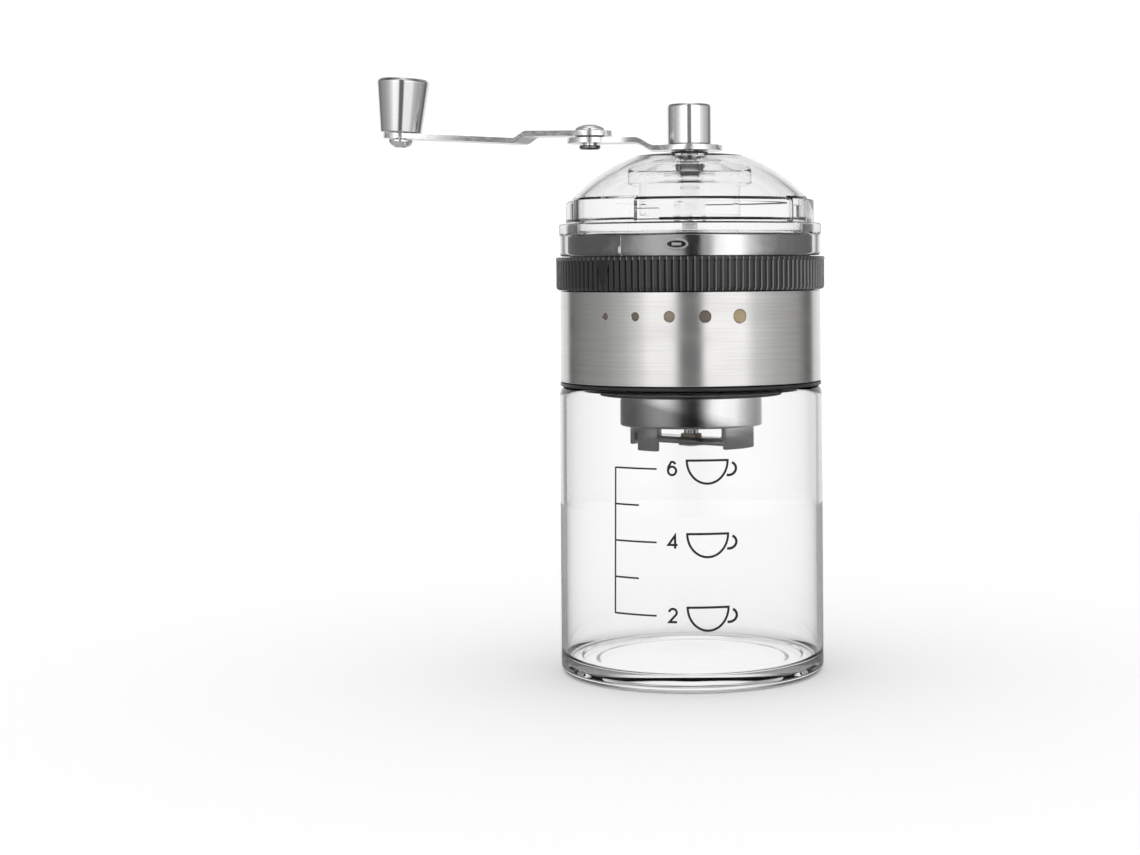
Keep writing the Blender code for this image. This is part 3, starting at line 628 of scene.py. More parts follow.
def digit_strokes(digit, left, base, height):
    """A plain number drawn in a box as high as height and 0.62 of that wide."""
    wide = height * 0.62
    mid = left + wide / 2.0
    if digit == 6:
        bowl = arc_points((mid, base + height * 0.32), (wide / 2.0, height * 0.32), 0, 360, 20)[:-1]
        stem = arc_points((mid + wide * 0.02, base + height * 0.72), (wide * 0.42, height * 0.28),
                          22, 108, 7)
        stem += arc_points((mid + wide * 0.16, base + height * 0.38), (wide * 0.66, height * 0.55),
                           132, 184, 7)
        return [(bowl, True), (stem, False)]
    if digit == 4:
        return [([(left + wide * 0.82, base), (left + wide * 0.82, base + height),
                  (left, base + height * 0.28), (left + wide * 1.12, base + height * 0.28)], False)]
    top = arc_points((mid, base + height * 0.72), (wide * 0.47, height * 0.28), 172, -35, 12)
    return [(top + [(left + wide * 0.06, base), (left + wide, base)], False)]


def make_scale():
    """Five marks, the numbers 2, 4 and 6, and a cup beside each number."""
    per_degree = JAR.radius * math.pi / 180.0
    thin = 0.55
    bold = 0.72
    rail = -33.3 * per_degree
    lean = -0.45
    low = 24.15
    step = 11.4
    slant = 0.12
    lines = [stroke([(rail + lean, low - 0.2), (rail, low + 4.0 * step + 0.2)], thin)]
    for number in range(5):
        reach = (-14.5 if number % 2 == 0 else -22.3) * per_degree
        height = low + step * number
        shift = lean * (1.0 - number / 4.0)
        lines.append(stroke([(rail + shift + 0.2, height), (reach + shift * 0.6, height - slant)],
                            thin))
    for number in range(3):
        height = low + 2.0 * step * number
        for path, closed in digit_strokes(2 + 2 * number, -9.7 * per_degree, height - 1.95, 4.1):
            lines.append(stroke(path, bold, closed))
        left = -1.9 * per_degree
        wide = 12.8
        top = height + 2.55
        bowl = arc_points((left + wide / 2.0, top), (wide / 2.0, 7.2), 180, 360, 28)
        lines.append(stroke(bowl, bold, True))
        handle = arc_points((left + wide + 0.25, top - 2.6), (2.45, 2.1), 62, -104, 14)
        lines.append(stroke(handle, bold + 0.1))
    piece("scale_print", merged(*lines), "ink", "jar")


# ---- head

COLLAR = Span("base_collar")
SEAL = Span("jar_seal")
BAND = Span("steel_band")
CORE = Span("body_core")
HOPPER = Span("hopper_collar")
TRIM = Span("chrome_band")
HOUSING = Span("burr_housing")
RING = Span("adjuster_ring")
GAP = 0.3
NECK_RADIUS = 39.6
NECK_BORE = 37.2
HOUSING_RADIUS = 23.5
HOUSING_BORE = 21.9
HOPPER_TOP = 146.6
TAB_ANGLES = (-67.0, 53.0, 173.0)
TAB_SPAN = 41.2
MARK_HEIGHT = 116.9
MARK_ANGLES = (-38.9, -23.9, -8.9, 6.1, 21.1)
POINTER_ANGLE = -38.5
SCREW_ANGLES = (60.0, 180.0, 300.0)
SCREW_CIRCLE = 31.0
BRIDGE_ANGLE = 50.5


def make_collar_and_seal():
    flange_low = 93.6
    boss_low = COLLAR.low
    seal_low = SEAL.low
    bore = HOUSING_RADIUS + 0.5
    boss_radius = 38.0
    boss_bore = 35.5
    piece("base_flange", turned([
        (bore, COLLAR.high), (COLLAR.radius, COLLAR.high, 0.25), (COLLAR.radius, flange_low, 0.35),
        (boss_radius, flange_low), (boss_radius, boss_low, 0.2), (boss_bore, boss_low, 0.2),
        (boss_bore, flange_low),
        (bore, flange_low)]),
        "black", "head", ["base_collar"])
    lip = SEAL.radius
    profile = [(38.3, SEAL.high), (38.3, seal_low), (lip - 0.9, seal_low, 0.2)]
    folds = 2
    pitch = (SEAL.high - seal_low) / folds
    for number in range(folds):
        base = seal_low + pitch * number
        profile += [(lip - 0.7, base + 0.1), (lip, base + pitch * 0.45, 0.15),
                    (lip, base + pitch * 0.6, 0.15), (lip - 0.7, base + pitch * 0.8)]
    piece("seal_ring", turned(profile + [(lip - 0.8, SEAL.high, 0.1)]),
          "rubber", "head", ["jar_seal"])


def make_core():
    bore = 22.5
    recess = 34.3
    low = BAND.low + 1.9
    floor = low + 2.1
    shoulder = BAND.high - 2.0
    inner = CORE.radius - 1.6
    upper_neck = TRIM.radius - 0.8
    piece("core", turned([
        (bore, low, 0.3), (recess, low), (recess, BAND.low), (CORE.radius, BAND.low, 0.2),
        (CORE.radius, BAND.high, 0.2), (NECK_RADIUS, BAND.high), (NECK_RADIUS, HOPPER.low),
        (upper_neck, HOPPER.low), (upper_neck, CORE.high, 0.3), (NECK_BORE, CORE.high, 0.3),
        (NECK_BORE, shoulder), (inner, shoulder), (inner, floor), (bore, floor, 0.3)]),
        "black", "head", ["body_core"])


def make_band():
    """The steel sleeve, its windows and the insert in each of them."""
    inner = BAND.radius - 0.8
    surface = BAND.radius
    radii = []
    cutters = []
    for number, angle in enumerate(MARK_ANGLES, 1):
        mark = Span("grind_mark_%d" % number)
        radius = (mark.high - mark.low) / 2.0 * 0.93
        radii.append(radius)
        cutters.append((CUT, radial(
            turned([(0.0, inner - 2.0), (radius + 0.05, inner - 2.0), (radius + 0.05, surface - 0.2),
                    (radius + 0.3, surface + 0.03), (radius + 0.3, surface + 2.0),
                    (0.0, surface + 2.0)], 48), angle, MARK_HEIGHT)))
    sleeve = turned([(inner, BAND.low), (BAND.radius, BAND.low, 0.22),
                     (BAND.radius, BAND.high, 0.22), (inner, BAND.high)], segments=512, steps=3)
    made = piece("band", shaped(sleeve, tools=cutters), "band", "head",
                 ["steel_band"], crease=25.0)
    round_normals(made)
    looks = ("insert_dark", "insert_dark", "insert", "insert_dark", "gold")
    for number, (angle, radius, look) in enumerate(zip(MARK_ANGLES, radii, looks), 1):
        face = surface - 0.18
        disc = turned([(0.0, CORE.radius + GAP), (radius, CORE.radius + GAP),
                       (radius, face - 0.1), (radius - 0.12, face - 0.02), (0.0, face + 0.05)], 48)
        piece("insert_%d" % number, radial(disc, angle, MARK_HEIGHT), look, "head",
              ["grind_mark_%d" % number])


def make_hopper():
    """The clear collar with its thick flange and the three tabs that key the lid."""
    ledge = HOPPER_TOP - 3.2
    bore = 41.5
    foot = HOPPER.radius - 0.25
    wall = turned([
        (bore, HOPPER.low, 0.3), (foot, HOPPER.low, 1.0), (foot, ledge - 0.5, 0.15),
        (HOPPER.radius, ledge, 0.25), (HOPPER.radius, HOPPER_TOP, 0.7),
        (NECK_BORE, HOPPER_TOP, 0.3), (NECK_BORE, ledge, 0.3), (bore, ledge, 0.5)])
    tabs = []
    for start in TAB_ANGLES:
        tab = arc_block(38.65, 41.0, HOPPER_TOP - 0.6, HOPPER.high, start, start + TAB_SPAN, 40)
        tabs.append((JOIN, beveled(tab, 0.35)))
    piece("hopper_wall", shaped(wall, tools=tabs), "clear", "head",
          ["hopper_collar"])


def make_trim():
    """The bright band behind the clear wall, its folded seam, and a plain oval catch."""
    seam = -33.0
    sheet = 0.5
    ring = turned([(TRIM.radius - sheet, TRIM.low), (TRIM.radius, TRIM.low, 0.2),
                   (TRIM.radius, TRIM.high, 0.2), (TRIM.radius - sheet, TRIM.high)], FINEST)
    fold = beveled(arc_block(TRIM.radius - 0.2, TRIM.radius + 0.16, TRIM.low + 0.05,
                             TRIM.high - 0.05, seam - 0.8, seam + 0.8, 4), 0.12)
    piece("trim_band", shaped(ring, tools=[(JOIN, fold)]), "trim", "head",
          ["chrome_band"])
    catch = Span("band_catch")
    half_width = catch.half_x + 0.02
    half_height = (catch.high - catch.low) / 2.0
    middle = (catch.high + catch.low) / 2.0
    back = TRIM.radius + 0.35
    angle = -5.9

    def oval(inset, depth):
        points = 48
        return [Vector(((half_width - inset) * math.cos(math.tau * step / points), -(back + depth),
                        middle + (half_height - inset) * math.sin(math.tau * step / points)))
                for step in range(points)]

    rim = lofted([oval(0.0, 0.0), oval(0.0, 0.2), oval(0.1, 0.32), oval(0.36, 0.35),
                  oval(0.62, 0.3), oval(0.72, 0.18), oval(0.72, 0.0)], closed=True)
    button = beveled(lofted([
        [Vector((x, -(back + depth), middle + z)) for x, z in (
            (-1.5, -0.45), (1.5, -0.45), (1.5, 0.45), (-1.5, 0.45))] for depth in (0.06, 0.3)]), 0.1)
    piece("catch", placed(merged(rim, button), angle), "catch", "head",
          ["band_catch"])
    piece("catch_well", placed(lofted([oval(0.75, 0.0), oval(0.75, 0.1)]), angle), "pointer",
          "head")


def make_housing():
    """The burr cup under the head, with two wide legs that hold the bridge and two narrow ones."""
    bottom = 80.4
    plate_bore = 19.8
    plate_top = bottom + 1.6
    cup = turned([
        (HOUSING_BORE, HOUSING.high), (34.0, HOUSING.high), (34.0, BAND.low),
        (HOUSING_RADIUS, BAND.low), (HOUSING_RADIUS, bottom, 0.6), (plate_bore, bottom, 0.2),
        (plate_bore, plate_top), (HOUSING_BORE, plate_top)])
    legs = []
    wide = (20.5, 73.4)
    narrow = (11.5, HOUSING.low)
    for turn, (half, foot) in ((0.0, wide), (87.5, narrow), (180.0, wide), (267.5, narrow)):
        angle = BRIDGE_ANGLE + turn
        leg = arc_block(20.0, 21.7, foot, bottom + 0.8, angle - half, angle + half)
        legs.append((JOIN, beveled(leg, 0.4)))
    bridge = Span("lower_bridge")
    half_width = 4.4
    pocket = placed(bar(21.0, half_width + GAP, HOUSING.low - 1.0, bridge.high + GAP),
                    BRIDGE_ANGLE - 90.0)
    piece("burr_cup", shaped(cup, tools=legs + [(CUT, pocket)]), "smoke", "head",
          ["burr_housing"])
    beam = beveled(bar(20.6, half_width, bridge.low, bridge.high), 0.3)
    hole = turned([(0.0, bridge.low - 2.0), (3.7, bridge.low - 2.0), (3.7, bridge.high + 2.0),
                   (0.0, bridge.high + 2.0)], SMALL)
    piece("bridge", placed(shaped(beam, tools=[(CUT, hole)]), BRIDGE_ANGLE - 90.0),
          "smoke", "head", ["lower_bridge"])
    bush = Span("bridge_bushing")
    piece("lower_bush", tube(2.7, 3.4, bush.low, bush.high, 0.1), "bronze", "head",
          ["bridge_bushing"])


def make_housing_screws():
    span = Span("housing_screw_1")
    head_top = 93.3
    for number, angle in enumerate(SCREW_ANGLES, 1):
        place = on_circle(SCREW_CIRCLE, angle)
        screw = turned([(0.0, span.low), (1.9, span.low + 0.05), (2.6, span.low + 0.6, 0.2),
                        (2.6, head_top), (1.4, head_top), (1.4, span.high, 0.3), (0.0, span.high)],
                       40, place[:2], 3)
        slots = [(CUT, placed(bar(1.5, 0.3, span.low - 1.0, span.low + 0.7), turn))
                 for turn in (0.0, 90.0)]
        for _, slot in slots:
            bmesh.ops.translate(slot, vec=place, verts=slot.verts)
        piece("base_screw_%d" % number, shaped(screw, tools=slots), "steel", "head",
              ["housing_screw_%d" % number])


# ---- grind adjustment

def make_ring():
    """Ribs run up the ring from its rounded foot to a plain lip."""
    samples = 12
    count = RIBS * samples
    tip = 44.2
    depth = 0.62
    foot = 1.2
    lip_radius = 44.35
    bore = NECK_RADIUS + 0.4
    lip_low = RING.high - 1.15

    def groove(step):
        """How deep the groove is here: 0 on a rib's crown, 1 at the groove's bottom."""
        across = abs((step % samples) / samples - 0.5) * 2.0
        if across < 0.2:
            return 1.0
        if across < 0.4:
            return 0.28
        return 0.1 * (1.0 - across) ** 2

    def ring_loop(height, radius, share):
        return [on_circle(radius - depth * share * groove(step), 360.0 * step / count, height)
                for step in range(count)]

    outline = []
    for step in range(5):
        turn = math.radians(90.0 * step / 4)
        outline.append((RING.low + foot * (1.0 - math.cos(turn)),
                        tip - foot * (1.0 - math.sin(turn)), min(1.0, step / 2.0)))
    outline += [
        (lip_low - 0.25, tip, 1.0), (lip_low - 0.1, tip, 0.5), (lip_low, tip + 0.02, 0.0),
        (lip_low + 0.12, lip_radius, 0.0), (RING.high - 0.45, lip_radius, 0.0),
        (RING.high - 0.13, lip_radius - 0.13, 0.0), (RING.high, lip_radius - 0.45, 0.0),
        (RING.high, bore + 0.3, 0.0), (RING.high - 0.3, bore, 0.0), (RING.low, bore, 0.0)]
    loops = [ring_loop(*row) for row in outline]
    piece("grip_ring", lofted(loops, closed=True), "ring", "adjuster",
          ["adjuster_ring"])
    rows = []
    face = tip + 0.12
    for height, half in ((RING.low + 0.35, 0.15), (lip_low + 0.05, 2.8)):
        row = []
        across = 10
        for radius, order in ((43.3, range(across + 1)), (face, range(across, -1, -1))):
            for step in order:
                angle = math.degrees((2.0 * step / across - 1.0) * half / face)
                row.append(on_circle(radius, POINTER_ANGLE + angle, height))
        rows.append(row)
    piece("grip_pointer", beveled(lofted(rows), 0.12, 2), "pointer", "adjuster")


def make_funnel():
    span = Span("bean_funnel")
    rim = span.radius
    bore = rim - 1.6
    tube_radius = 21.5
    throat = 17.6
    burr_bore = 19.8
    seat = 94.5
    ledge_low = 104.0
    ledge_high = 106.0
    piece("funnel", turned([
        (bore, span.high, 0.5), (rim, span.high, 0.5), (rim, 125.5, 1.5), (tube_radius, 109.0, 1.5),
        (tube_radius, ledge_high), (27.0, ledge_high, 0.4), (27.0, ledge_low, 0.4),
        (tube_radius, ledge_low),
        (tube_radius, span.low, 0.2), (burr_bore, span.low), (burr_bore, seat), (throat, seat),
        (throat, 108.0, 1.5), (bore, 126.0, 1.5)]), "black", "carrier",
        ["bean_funnel"])


# ---- drive

def make_drive():
    shaft = Span("drive_shaft")
    clip = Span("shaft_clip")
    burr = Span("inner_burr")
    radius = 2.4
    boss = 145.0
    hex_low = 144.0
    piece("shaft", turned([
        (0.0, shaft.low), (radius, shaft.low, 0.25), (radius, clip.low - 0.1),
        (1.7, clip.low - 0.1), (1.7, clip.high + 0.1), (radius, clip.high + 0.1),
        (radius, burr.high + 0.3), (5.0, burr.high + 0.3, 0.2), (5.0, burr.high + 1.8, 0.3),
        (3.5, burr.high + 1.8), (3.5, boss, 0.4), (0.0, boss)], SMALL),
        "steel", "drive", ["drive_shaft"])
    piece("shaft_hex", beveled(turned([(0.0, hex_low), (2.6, hex_low), (2.6, shaft.high, 0.4),
                                       (0.0, shaft.high)], 6, steps=2), 0.12),
          "steel", "drive", crease=20.0)
    piece("lower_clip", beveled(arc_block(2.0, 4.2, clip.low, clip.high, 40.0, 340.0, 60), 0.1),
          "steel", "drive", ["shaft_clip"])


# ---- lid

LID = Span("lid_dome")
HUB = Span("lid_hub")
DOME_RADIUS = 52.3
DOME_CENTRE = 119.9
DOME_WALL = 2.0
LID_BORE = 35.0
LID_SPIGOT = 36.8
LID_CAVITY = 36.9
LID_RIM_RADIUS = 41.0
LID_RIM_LOW = HOPPER_TOP + 0.4


def dome_arc(radius, start_height, end_height, steps):
    start = math.asin((start_height - DOME_CENTRE) / radius)
    end = math.asin((end_height - DOME_CENTRE) / radius)
    points = []
    for step in range(steps + 1):
        angle = start + (end - start) * step / steps
        points.append((radius * math.cos(angle), DOME_CENTRE + radius * math.sin(angle)))
    return points


def make_lid():
    """The clear dome, notched for the collar's tabs, with three locking lugs inside its rim."""
    inner_radius = DOME_RADIUS - DOME_WALL
    foot = DOME_CENTRE + math.sqrt(inner_radius ** 2 - LID_CAVITY ** 2)
    bore = 5.0
    profile = [(LID_BORE, LID.low, 0.4), (LID_SPIGOT, LID.low, 0.4), (LID_SPIGOT, LID_RIM_LOW),
               (LID_RIM_RADIUS, LID_RIM_LOW, 0.3), (LID_RIM_RADIUS, 153.6, 1.1), (39.1, 154.5, 0.5)]
    profile += dome_arc(DOME_RADIUS, 155.2, LID.high - 0.35, 36)
    profile += [(16.0, LID.high - 0.06), (bore, LID.high, 0.2), (bore, LID.high - DOME_WALL, 0.2)]
    profile += dome_arc(inner_radius, LID.high - DOME_WALL, foot, 34)
    profile += [(LID_CAVITY, LID_RIM_LOW + 0.9, 0.3), (LID_BORE, LID_RIM_LOW + 0.6, 0.3)]
    dome = turned(profile, FINEST)
    tools = []
    clearance = 0.55
    notch_high = 154.8
    lug_low = 147.2
    lug_high = 151.0
    for start in TAB_ANGLES:
        tools.append((CUT, arc_block(38.25, LID_RIM_RADIUS + 2.0, LID_RIM_LOW - 1.0,
                                              notch_high, start - clearance,
                                              start + TAB_SPAN + clearance, 40)))
        lug = arc_block(LID_CAVITY - 1.3, LID_CAVITY + 0.6, lug_low, lug_high, start + 38.0,
                        start + 52.0, 20)
        tools.append((JOIN, beveled(lug, 0.6)))
    piece("dome", shaped(dome, tools=tools), "clear", "lid", ["lid_dome"])
    skirt_high = 159.4
    ceiling = 163.0
    pad_low = 162.3
    piece("hub_boss", turned([
        (bore, HUB.high, 0.2), (14.0, HUB.high, 2.0), (HUB.radius, 165.0, 0.7),
        (HUB.radius, skirt_high, 0.9), (16.7, skirt_high, 0.5), (16.7, HUB.low, 0.5), (15.1, HUB.low, 0.5),
        (15.1, ceiling, 0.6), (8.6, ceiling, 0.3), (8.6, pad_low, 0.2), (bore, pad_low, 0.2)]),
        "clear_hub", "lid", ["lid_hub"])
    bush = Span("lid_bushing")
    flange = bush.low + 1.1
    piece("spindle_bush", turned([
        (3.3, bush.high, 0.1), (4.6, bush.high, 0.1), (4.6, flange), (bush.half_x, flange, 0.15),
        (bush.half_x, bush.low, 0.2), (3.3, bush.low, 0.1)], SMALL, steps=3),
        "clear_hub", "lid", ["lid_bushing"])


# ---- crank

INNER = Span("inner_arm")
NUT = Span("cap_nut")
RIVET = Span("fold_rivet")
OUTER = Span("outer_arm")
SHEET = 1.7
FOLD_X = -32.9
ARM_RAISE = 2.65
OUTER_LENGTH = 62.4
OUTER_HALF_WIDTH = 5.2
OUTER_DROP = 2.35
OUTER_JOG_START = 20.8
OUTER_JOG_SKEW = 0.38
OUTER_TILT = math.radians(2.9)


def joint(name):
    return next(item for item in frame["joints"] if item["name"] == name)


def strip(pads, half_width, height, stations_between):
    """A flat arm along X with a round pad at each end; height(x, y) is its middle plane."""
    (first_x, first_radius), (last_x, last_radius) = pads
    stations = [(x, half_width) for x in stations_between]
    steps = 20
    for centre, radius, side in ((first_x, first_radius, 1.0), (last_x, last_radius, -1.0)):
        inward = math.pi - math.asin(half_width / radius)
        for step in range(steps + 1):
            angle = 0.12 + (inward - 0.12) * step / steps
            stations.append((centre + side * radius * math.cos(angle), radius * math.sin(angle)))
    stations.sort(reverse=True)
    loops = []
    across = 8
    for x, half in stations:
        row = [-half + 2.0 * half * step / across for step in range(across + 1)]
        loops.append([Vector((x, y, height(x, y) - SHEET / 2.0)) for y in row]
                     + [Vector((x, y, height(x, y) + SHEET / 2.0)) for y in reversed(row)])
    return lofted(loops)


def eased(part):
    part = min(max(part, 0.0), 1.0)
    return part * part * (3.0 - 2.0 * part)


def round_cutter(radius, low, high, centre=(0.0, 0.0)):
    return turned([(0.0, low), (radius, low), (radius, high), (0.0, high)], 48, centre)


def make_inner_arm():
    low = INNER.low

    def height(x, y):
        return low + SHEET / 2.0 + ARM_RAISE * eased((-11.6 - x) / 6.4)

    between = [-11.6 - 6.4 * step / 16 for step in range(17)]
    arm = strip(((0.0, 11.1), (FOLD_X, 7.6)), 6.0, height, between)
    holes = [(CUT, round_cutter(3.2, low - 2.0, low + 4.0)),
             (CUT, round_cutter(2.8, low - 2.0, low + 8.0, (FOLD_X, 0.0)))]
    piece("crank_link", beveled(shaped(arm, tools=holes), 0.32), "arm", "crank",
          ["inner_arm"], crease=40.0)


def make_outer_arm():
    pivot = OUTER.high - SHEET / 2.0

    def height(x, y):
        away = FOLD_X - x
        start = OUTER_JOG_START - OUTER_JOG_SKEW * (y + OUTER_HALF_WIDTH)
        rise = max(away - 25.1, 0.0) * math.tan(OUTER_TILT)
        return pivot + rise - OUTER_DROP * eased((away - start) / 4.6)

    between = [FOLD_X - 16.8 - 8.8 * step / 22 for step in range(23)]
    knob_x = FOLD_X - OUTER_LENGTH
    arm = strip(((FOLD_X, 7.5), (knob_x, 5.9)), OUTER_HALF_WIDTH, height, between)
    holes = [(CUT, round_cutter(2.8, pivot - 3.0, pivot + 3.0, (FOLD_X, 0.0))),
             (CUT, round_cutter(2.1, pivot - 6.0, pivot + 6.0, (knob_x, 0.0)))]
    piece("crank_lever", beveled(shaped(arm, tools=holes), 0.32), "arm", "handle",
          ["outer_arm"], crease=40.0)


def make_hub_stack():
    spindle = Span("crank_spindle")
    body_top = 153.8
    body = turned([
        (0.0, spindle.low), (spindle.half_x, spindle.low, 0.4), (spindle.half_x, body_top, 0.3),
        (3.0, body_top), (3.0, INNER.low - 0.1), (2.6, INNER.low - 0.1), (2.6, NUT.low),
        (1.9, NUT.low), (1.9, spindle.high, 0.4), (0.0, spindle.high)], SMALL, steps=3)
    socket_low = 145.5
    socket_high = 153.0
    socket = turned([(0.0, socket_low), (3.0, socket_low), (3.0, socket_high),
                     (0.0, socket_high)], 6)
    piece("spindle", shaped(body, tools=[(CUT, socket)]), "spindle", "crank",
          ["crank_spindle"])
    washer = Span("hub_washer")
    piece("dome_washer", tube(3.3, washer.half_x, washer.low, washer.high, 0.2), "rubber",
          "crank", ["hub_washer"])
    piece("nut", turned([
        (0.0, NUT.high), (NUT.half_x, NUT.high, 1.0), (NUT.half_x, NUT.low + 0.5, 0.25),
        (NUT.half_x - 0.25, NUT.low, 0.1), (2.3, NUT.low), (2.3, NUT.high - 2.5),
        (0.0, NUT.high - 2.5)], 96, steps=6),
        "turned", "crank", ["cap_nut"])


def make_rivet():
    tail = 172.7
    seat = RIVET.high - 2.0
    piece("rivet_tail", turned([
        (0.0, RIVET.low), (2.9, RIVET.low + 0.05, 0.3), (3.5, RIVET.low + 0.4, 0.2),
        (3.5, tail, 0.15), (0.0, tail)], SMALL, (FOLD_X, 0.0), 4),
        "painted_shade_steel", "crank")
    piece("rivet", turned([
        (0.0, tail + 0.02), (2.4, tail + 0.02), (2.4, seat), (5.0, seat, 0.15),
        (4.95, seat + 0.45, 0.25), (4.1, seat + 1.15, 1.0), (2.4, seat + 1.8, 2.0),
        (0.0, RIVET.high)], SMALL, (FOLD_X, 0.0), 5),
        "chrome", "crank", ["fold_rivet"])
    washer = Span("fold_washer")
    piece("link_washer", tube(2.8, washer.half_x, washer.low, washer.high, 0.12, SMALL,
                              (FOLD_X, 0.0)), "painted_shade_steel", "crank", ["fold_washer"])


def make_knob():
    """Everything here is made about the knob's own axis, then set on the tilted end of the arm."""
    spin = joint("knob_spin")
    axis = Vector(spin["axis"]).normalized()
    place = Matrix.Translation(Vector(spin["pos_m"])) @ Vector((0, 0, 1)).rotation_difference(
        axis).to_matrix().to_4x4()
    face = SHEET / 2.0
    low = face + GAP
    recess = low + 0.9
    high = low + 17.7
    ledge = high - 3.2
    piece("knob_body", turned([
        (3.5, recess), (5.7, recess), (5.7, low, 0.1), (6.85, low, 0.3), (8.7, high - 0.9, 0.7),
        (7.8, high, 0.5), (5.0, high, 0.15), (5.0, ledge), (3.5, ledge)], 96, steps=5),
        "knob", "grip", ["knob"], place=place)
    piece("knob_plug", turned([(0.0, high - 1.5), (4.7, high - 1.5), (4.7, high - 0.12, 0.2),
                               (0.0, high - 0.05)], SMALL, steps=3), "turned", "grip",
          ["knob_cap"], place=place)
    flange = ledge + 0.3
    piece("knob_axle", turned([
        (0.0, flange - 0.6), (1.9, flange - 0.6), (1.9, face + 0.3), (3.1, face + 0.3), (3.1, flange),
        (4.6, flange, 0.1), (4.6, flange + 0.9, 0.1), (0.0, flange + 0.9)], SMALL, steps=3),
        "steel", "handle", ["knob_sleeve"], place=place)
    piece("knob_ring", tube(3.4, 5.4, low, recess - GAP, 0.1), "steel", "handle",
          ["knob_washer"], place=place)
    top = -face - GAP
    bolt_end = 13.0
    screw = turned([
        (0.0, top - 2.6), (1.8, top - 2.5, 1.0), (3.3, top - 1.75, 1.0), (4.0, top - 0.7, 0.4),
        (4.0, top, 0.15), (1.6, top), (1.6, bolt_end, 0.3), (0.0, bolt_end)], SMALL, steps=4)
    cross = [(CUT, placed(bar(2.1, 0.42, top - 3.0, top - 1.1), turn))
             for turn in (45.0, 135.0)]
    piece("knob_bolt", shaped(screw, tools=cross), "chrome", "handle",
          ["knob_screw"], place=place)


# ---- CAD nodes that are kept

def dress_kept_nodes():
    """Inner pieces whose CAD shape is right take a finished material."""
    looks = {"outer_burr": "ceramic", "inner_burr": "ceramic", "carrier_spring": "steel",
             "detent_spring": "steel", "burr_nut": "steel", "cam_pin_1": "steel",
             "cam_pin_2": "steel", "cam_pin_3": "steel"}
    for node, look in looks.items():
        item = frame["nodes"][node]
        item.data.materials.clear()
        item.data.materials.append(LOOK[look])


# ---- light, floor and camera

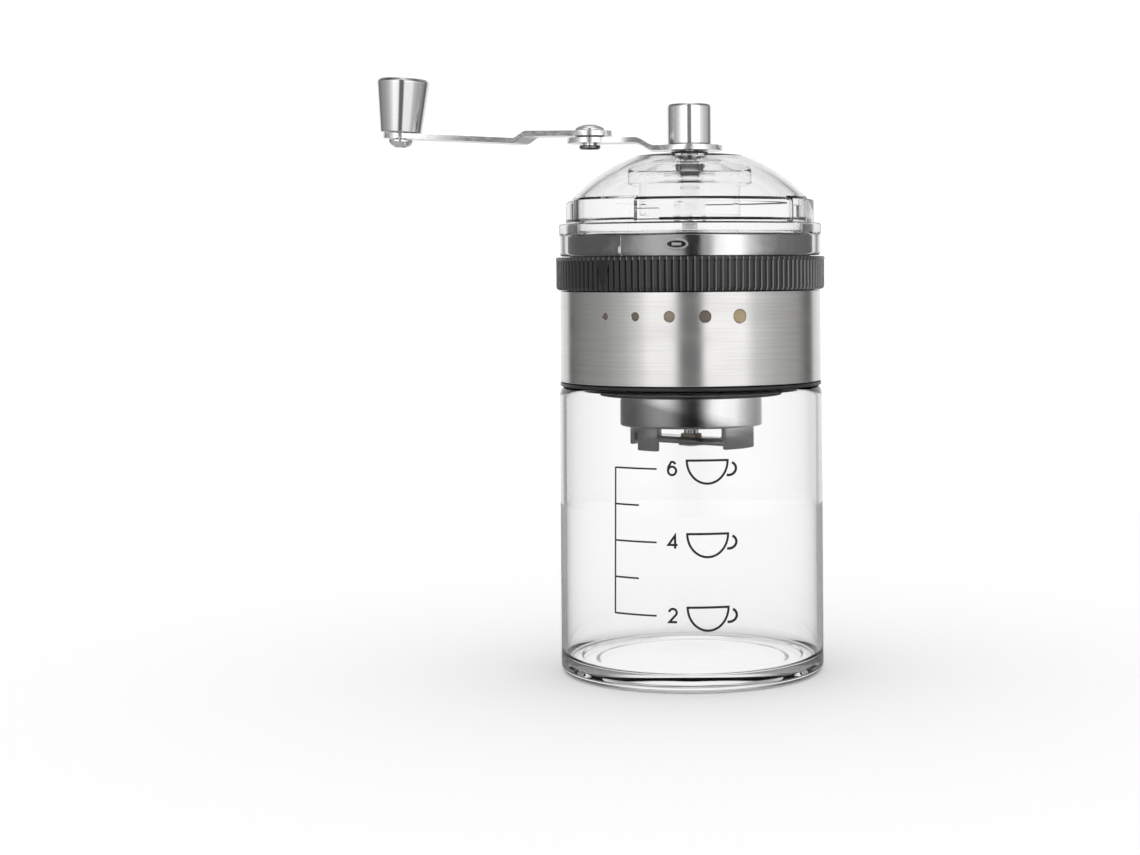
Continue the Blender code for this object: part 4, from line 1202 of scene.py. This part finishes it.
def make_world():
    """A studio as a ring of panels: two soft boxes by the camera, grey sides, a pale back wall.

    Metals in the open mirror one pattern, and metals behind a clear wall another. Matt pieces
    and the backdrop take an even grey.
    """
    world = bpy.data.worlds.new("studio")
    bpy.context.scene.world = world
    world.use_nodes = True
    world.node_tree.nodes.clear()
    tree = Tree(world.node_tree)
    axes = tree.axes("Generated")
    share = tree.calculate("MULTIPLY_ADD", tree.front_angle(axes), 1.0 / math.tau, 0.5)
    lift = tree.calculate("MULTIPLY_ADD", axes["Z"], 0.5, 0.5)
    paths = tree.add("ShaderNodeLightPath").outputs

    def ring(source, stops):
        return tree.grey_ramp(source, [(0.5 + angle / 360.0, level) for angle, level in stops])

    def at_least(depth, least):
        return tree.calculate("GREATER_THAN", paths[depth], least - 0.5)

    panels = ring(share, [
        (-180, 0.70), (-139, 0.56), (-132, 0.08), (-124, 0.13), (-105, 0.2), (-80, 0.27),
        (-60, 0.42), (-44, 0.72), (-37, 1.0), (-15, 1.0), (-8, 0.13), (8, 0.13), (13, 1.0),
        (47, 1.0), (58, 0.6), (80, 0.40), (108, 0.27), (123, 0.10), (132, 0.12), (139, 0.56),
        (180, 0.70)])
    heights = ring(lift, [
        (-180, 0.9), (-70, 0.85), (-36, 0.62), (-22, 0.72), (-6, 1.0), (45, 1.0), (80, 0.4),
        (150, 0.4), (174, 1.0), (180, 1.0)])
    in_open = tree.mixed(1.0, panels, heights, "MULTIPLY")
    behind_low = ring(share, [
        (-180, 0.60), (-166, 0.54), (-154, 0.14), (-106, 0.15), (-90, 0.25), (-74, 0.48),
        (-60, 0.70), (-50, 0.77), (-38, 0.66), (-26, 0.36), (-12, 0.03), (6, 0.015), (13, 0.05),
        (24, 0.36), (34, 0.80), (50, 0.96), (74, 0.90), (88, 0.58), (106, 0.34), (128, 0.22),
        (152, 0.3), (166, 0.54), (180, 0.60)])
    behind_high = ring(share, [
        (-180, 0.60), (-168, 0.54), (-158, 0.10), (-130, 0.065), (-88, 0.07), (-68, 0.08),
        (-54, 0.17), (-40, 0.30), (-32, 0.36), (-18, 0.34), (-8, 0.30), (-3, 0.02), (8, 0.02),
        (11, 0.27), (18, 0.36), (24, 0.85), (34, 1.0), (47, 1.0), (56, 0.55), (70, 0.26),
        (90, 0.13), (140, 0.08), (158, 0.1), (168, 0.54), (180, 0.60)])
    through = ring(share, [
        (-180, 0.615), (-140, 0.61), (-110, 0.595), (110, 0.595), (140, 0.61), (180, 0.615)])
    backdrop = 0.69
    many_walls = 6
    behind = tree.mixed(tree.ranged(axes["Z"], 0.0, 1.0, -0.045, -0.015), behind_low, behind_high)
    behind = tree.mixed(at_least("Transmission Depth", many_walls), behind, 0.62)
    mirrored = tree.mixed(at_least("Transmission Depth", 1), in_open, behind)
    light = tree.mixed(paths["Is Transmission Ray"], backdrop, through)
    light = tree.mixed(at_least("Glossy Depth", 1), light, mirrored)
    light = tree.mixed(paths["Is Camera Ray"], light, backdrop)
    background = tree.fill(tree.add("ShaderNodeBackground"), Strength=1.6, Color=light)
    tree.fill(tree.add("ShaderNodeOutputWorld"), Surface=background.outputs[0])


def make_floor():
    floor_look = Look("studio_floor").set(colour=(0.92, 0.92, 0.92), rough=0.9, specular=0.0)
    bm = bmesh.new()
    segments = 96
    opening = 0.0405
    reach = 0.5
    depth = -0.0002
    rings = [[bm.verts.new((radius * math.cos(math.tau * step / segments),
                            radius * math.sin(math.tau * step / segments), depth))
              for step in range(segments)] for radius in (opening, reach)]
    for step in range(segments):
        after = (step + 1) % segments
        bm.faces.new((rings[0][step], rings[1][step], rings[1][after], rings[0][after]))
    mesh = bpy.data.meshes.new("floor")
    bm.to_mesh(mesh)
    bm.free()
    mesh.materials.append(floor_look.material)
    floor = bpy.data.objects.new("floor", mesh)
    bpy.context.collection.objects.link(floor)


def make_camera():
    """Level, a little above the band, with the frame shifted so the grinder stands right of centre."""
    data = bpy.data.cameras.new("camera")
    data.sensor_width = 36.0
    data.lens = 66.0
    data.shift_x = -0.10544
    data.shift_y = -0.13991
    data.clip_start = 0.01
    data.clip_end = 20.0
    camera = bpy.data.objects.new("camera", data)
    bpy.context.collection.objects.link(camera)
    roll = Matrix.Rotation(math.radians(-0.36), 4, "Z")
    level = Matrix.Rotation(math.radians(90.0), 4, "X")
    camera.matrix_world = Matrix.Translation((0.0, -0.691, 0.132)) @ level @ roll
    bpy.context.scene.camera = camera


def set_view():
    scene = bpy.context.scene
    scene.view_settings.view_transform = "Standard"
    scene.view_settings.look = "None"


for make in (make_jar, make_scale, make_collar_and_seal, make_core, make_band, make_hopper,
             make_trim, make_housing, make_housing_screws, make_ring, make_funnel, make_drive,
             make_lid, make_inner_arm, make_outer_arm, make_hub_stack, make_rivet, make_knob,
             dress_kept_nodes, make_world, make_floor, make_camera, set_view):
    make()
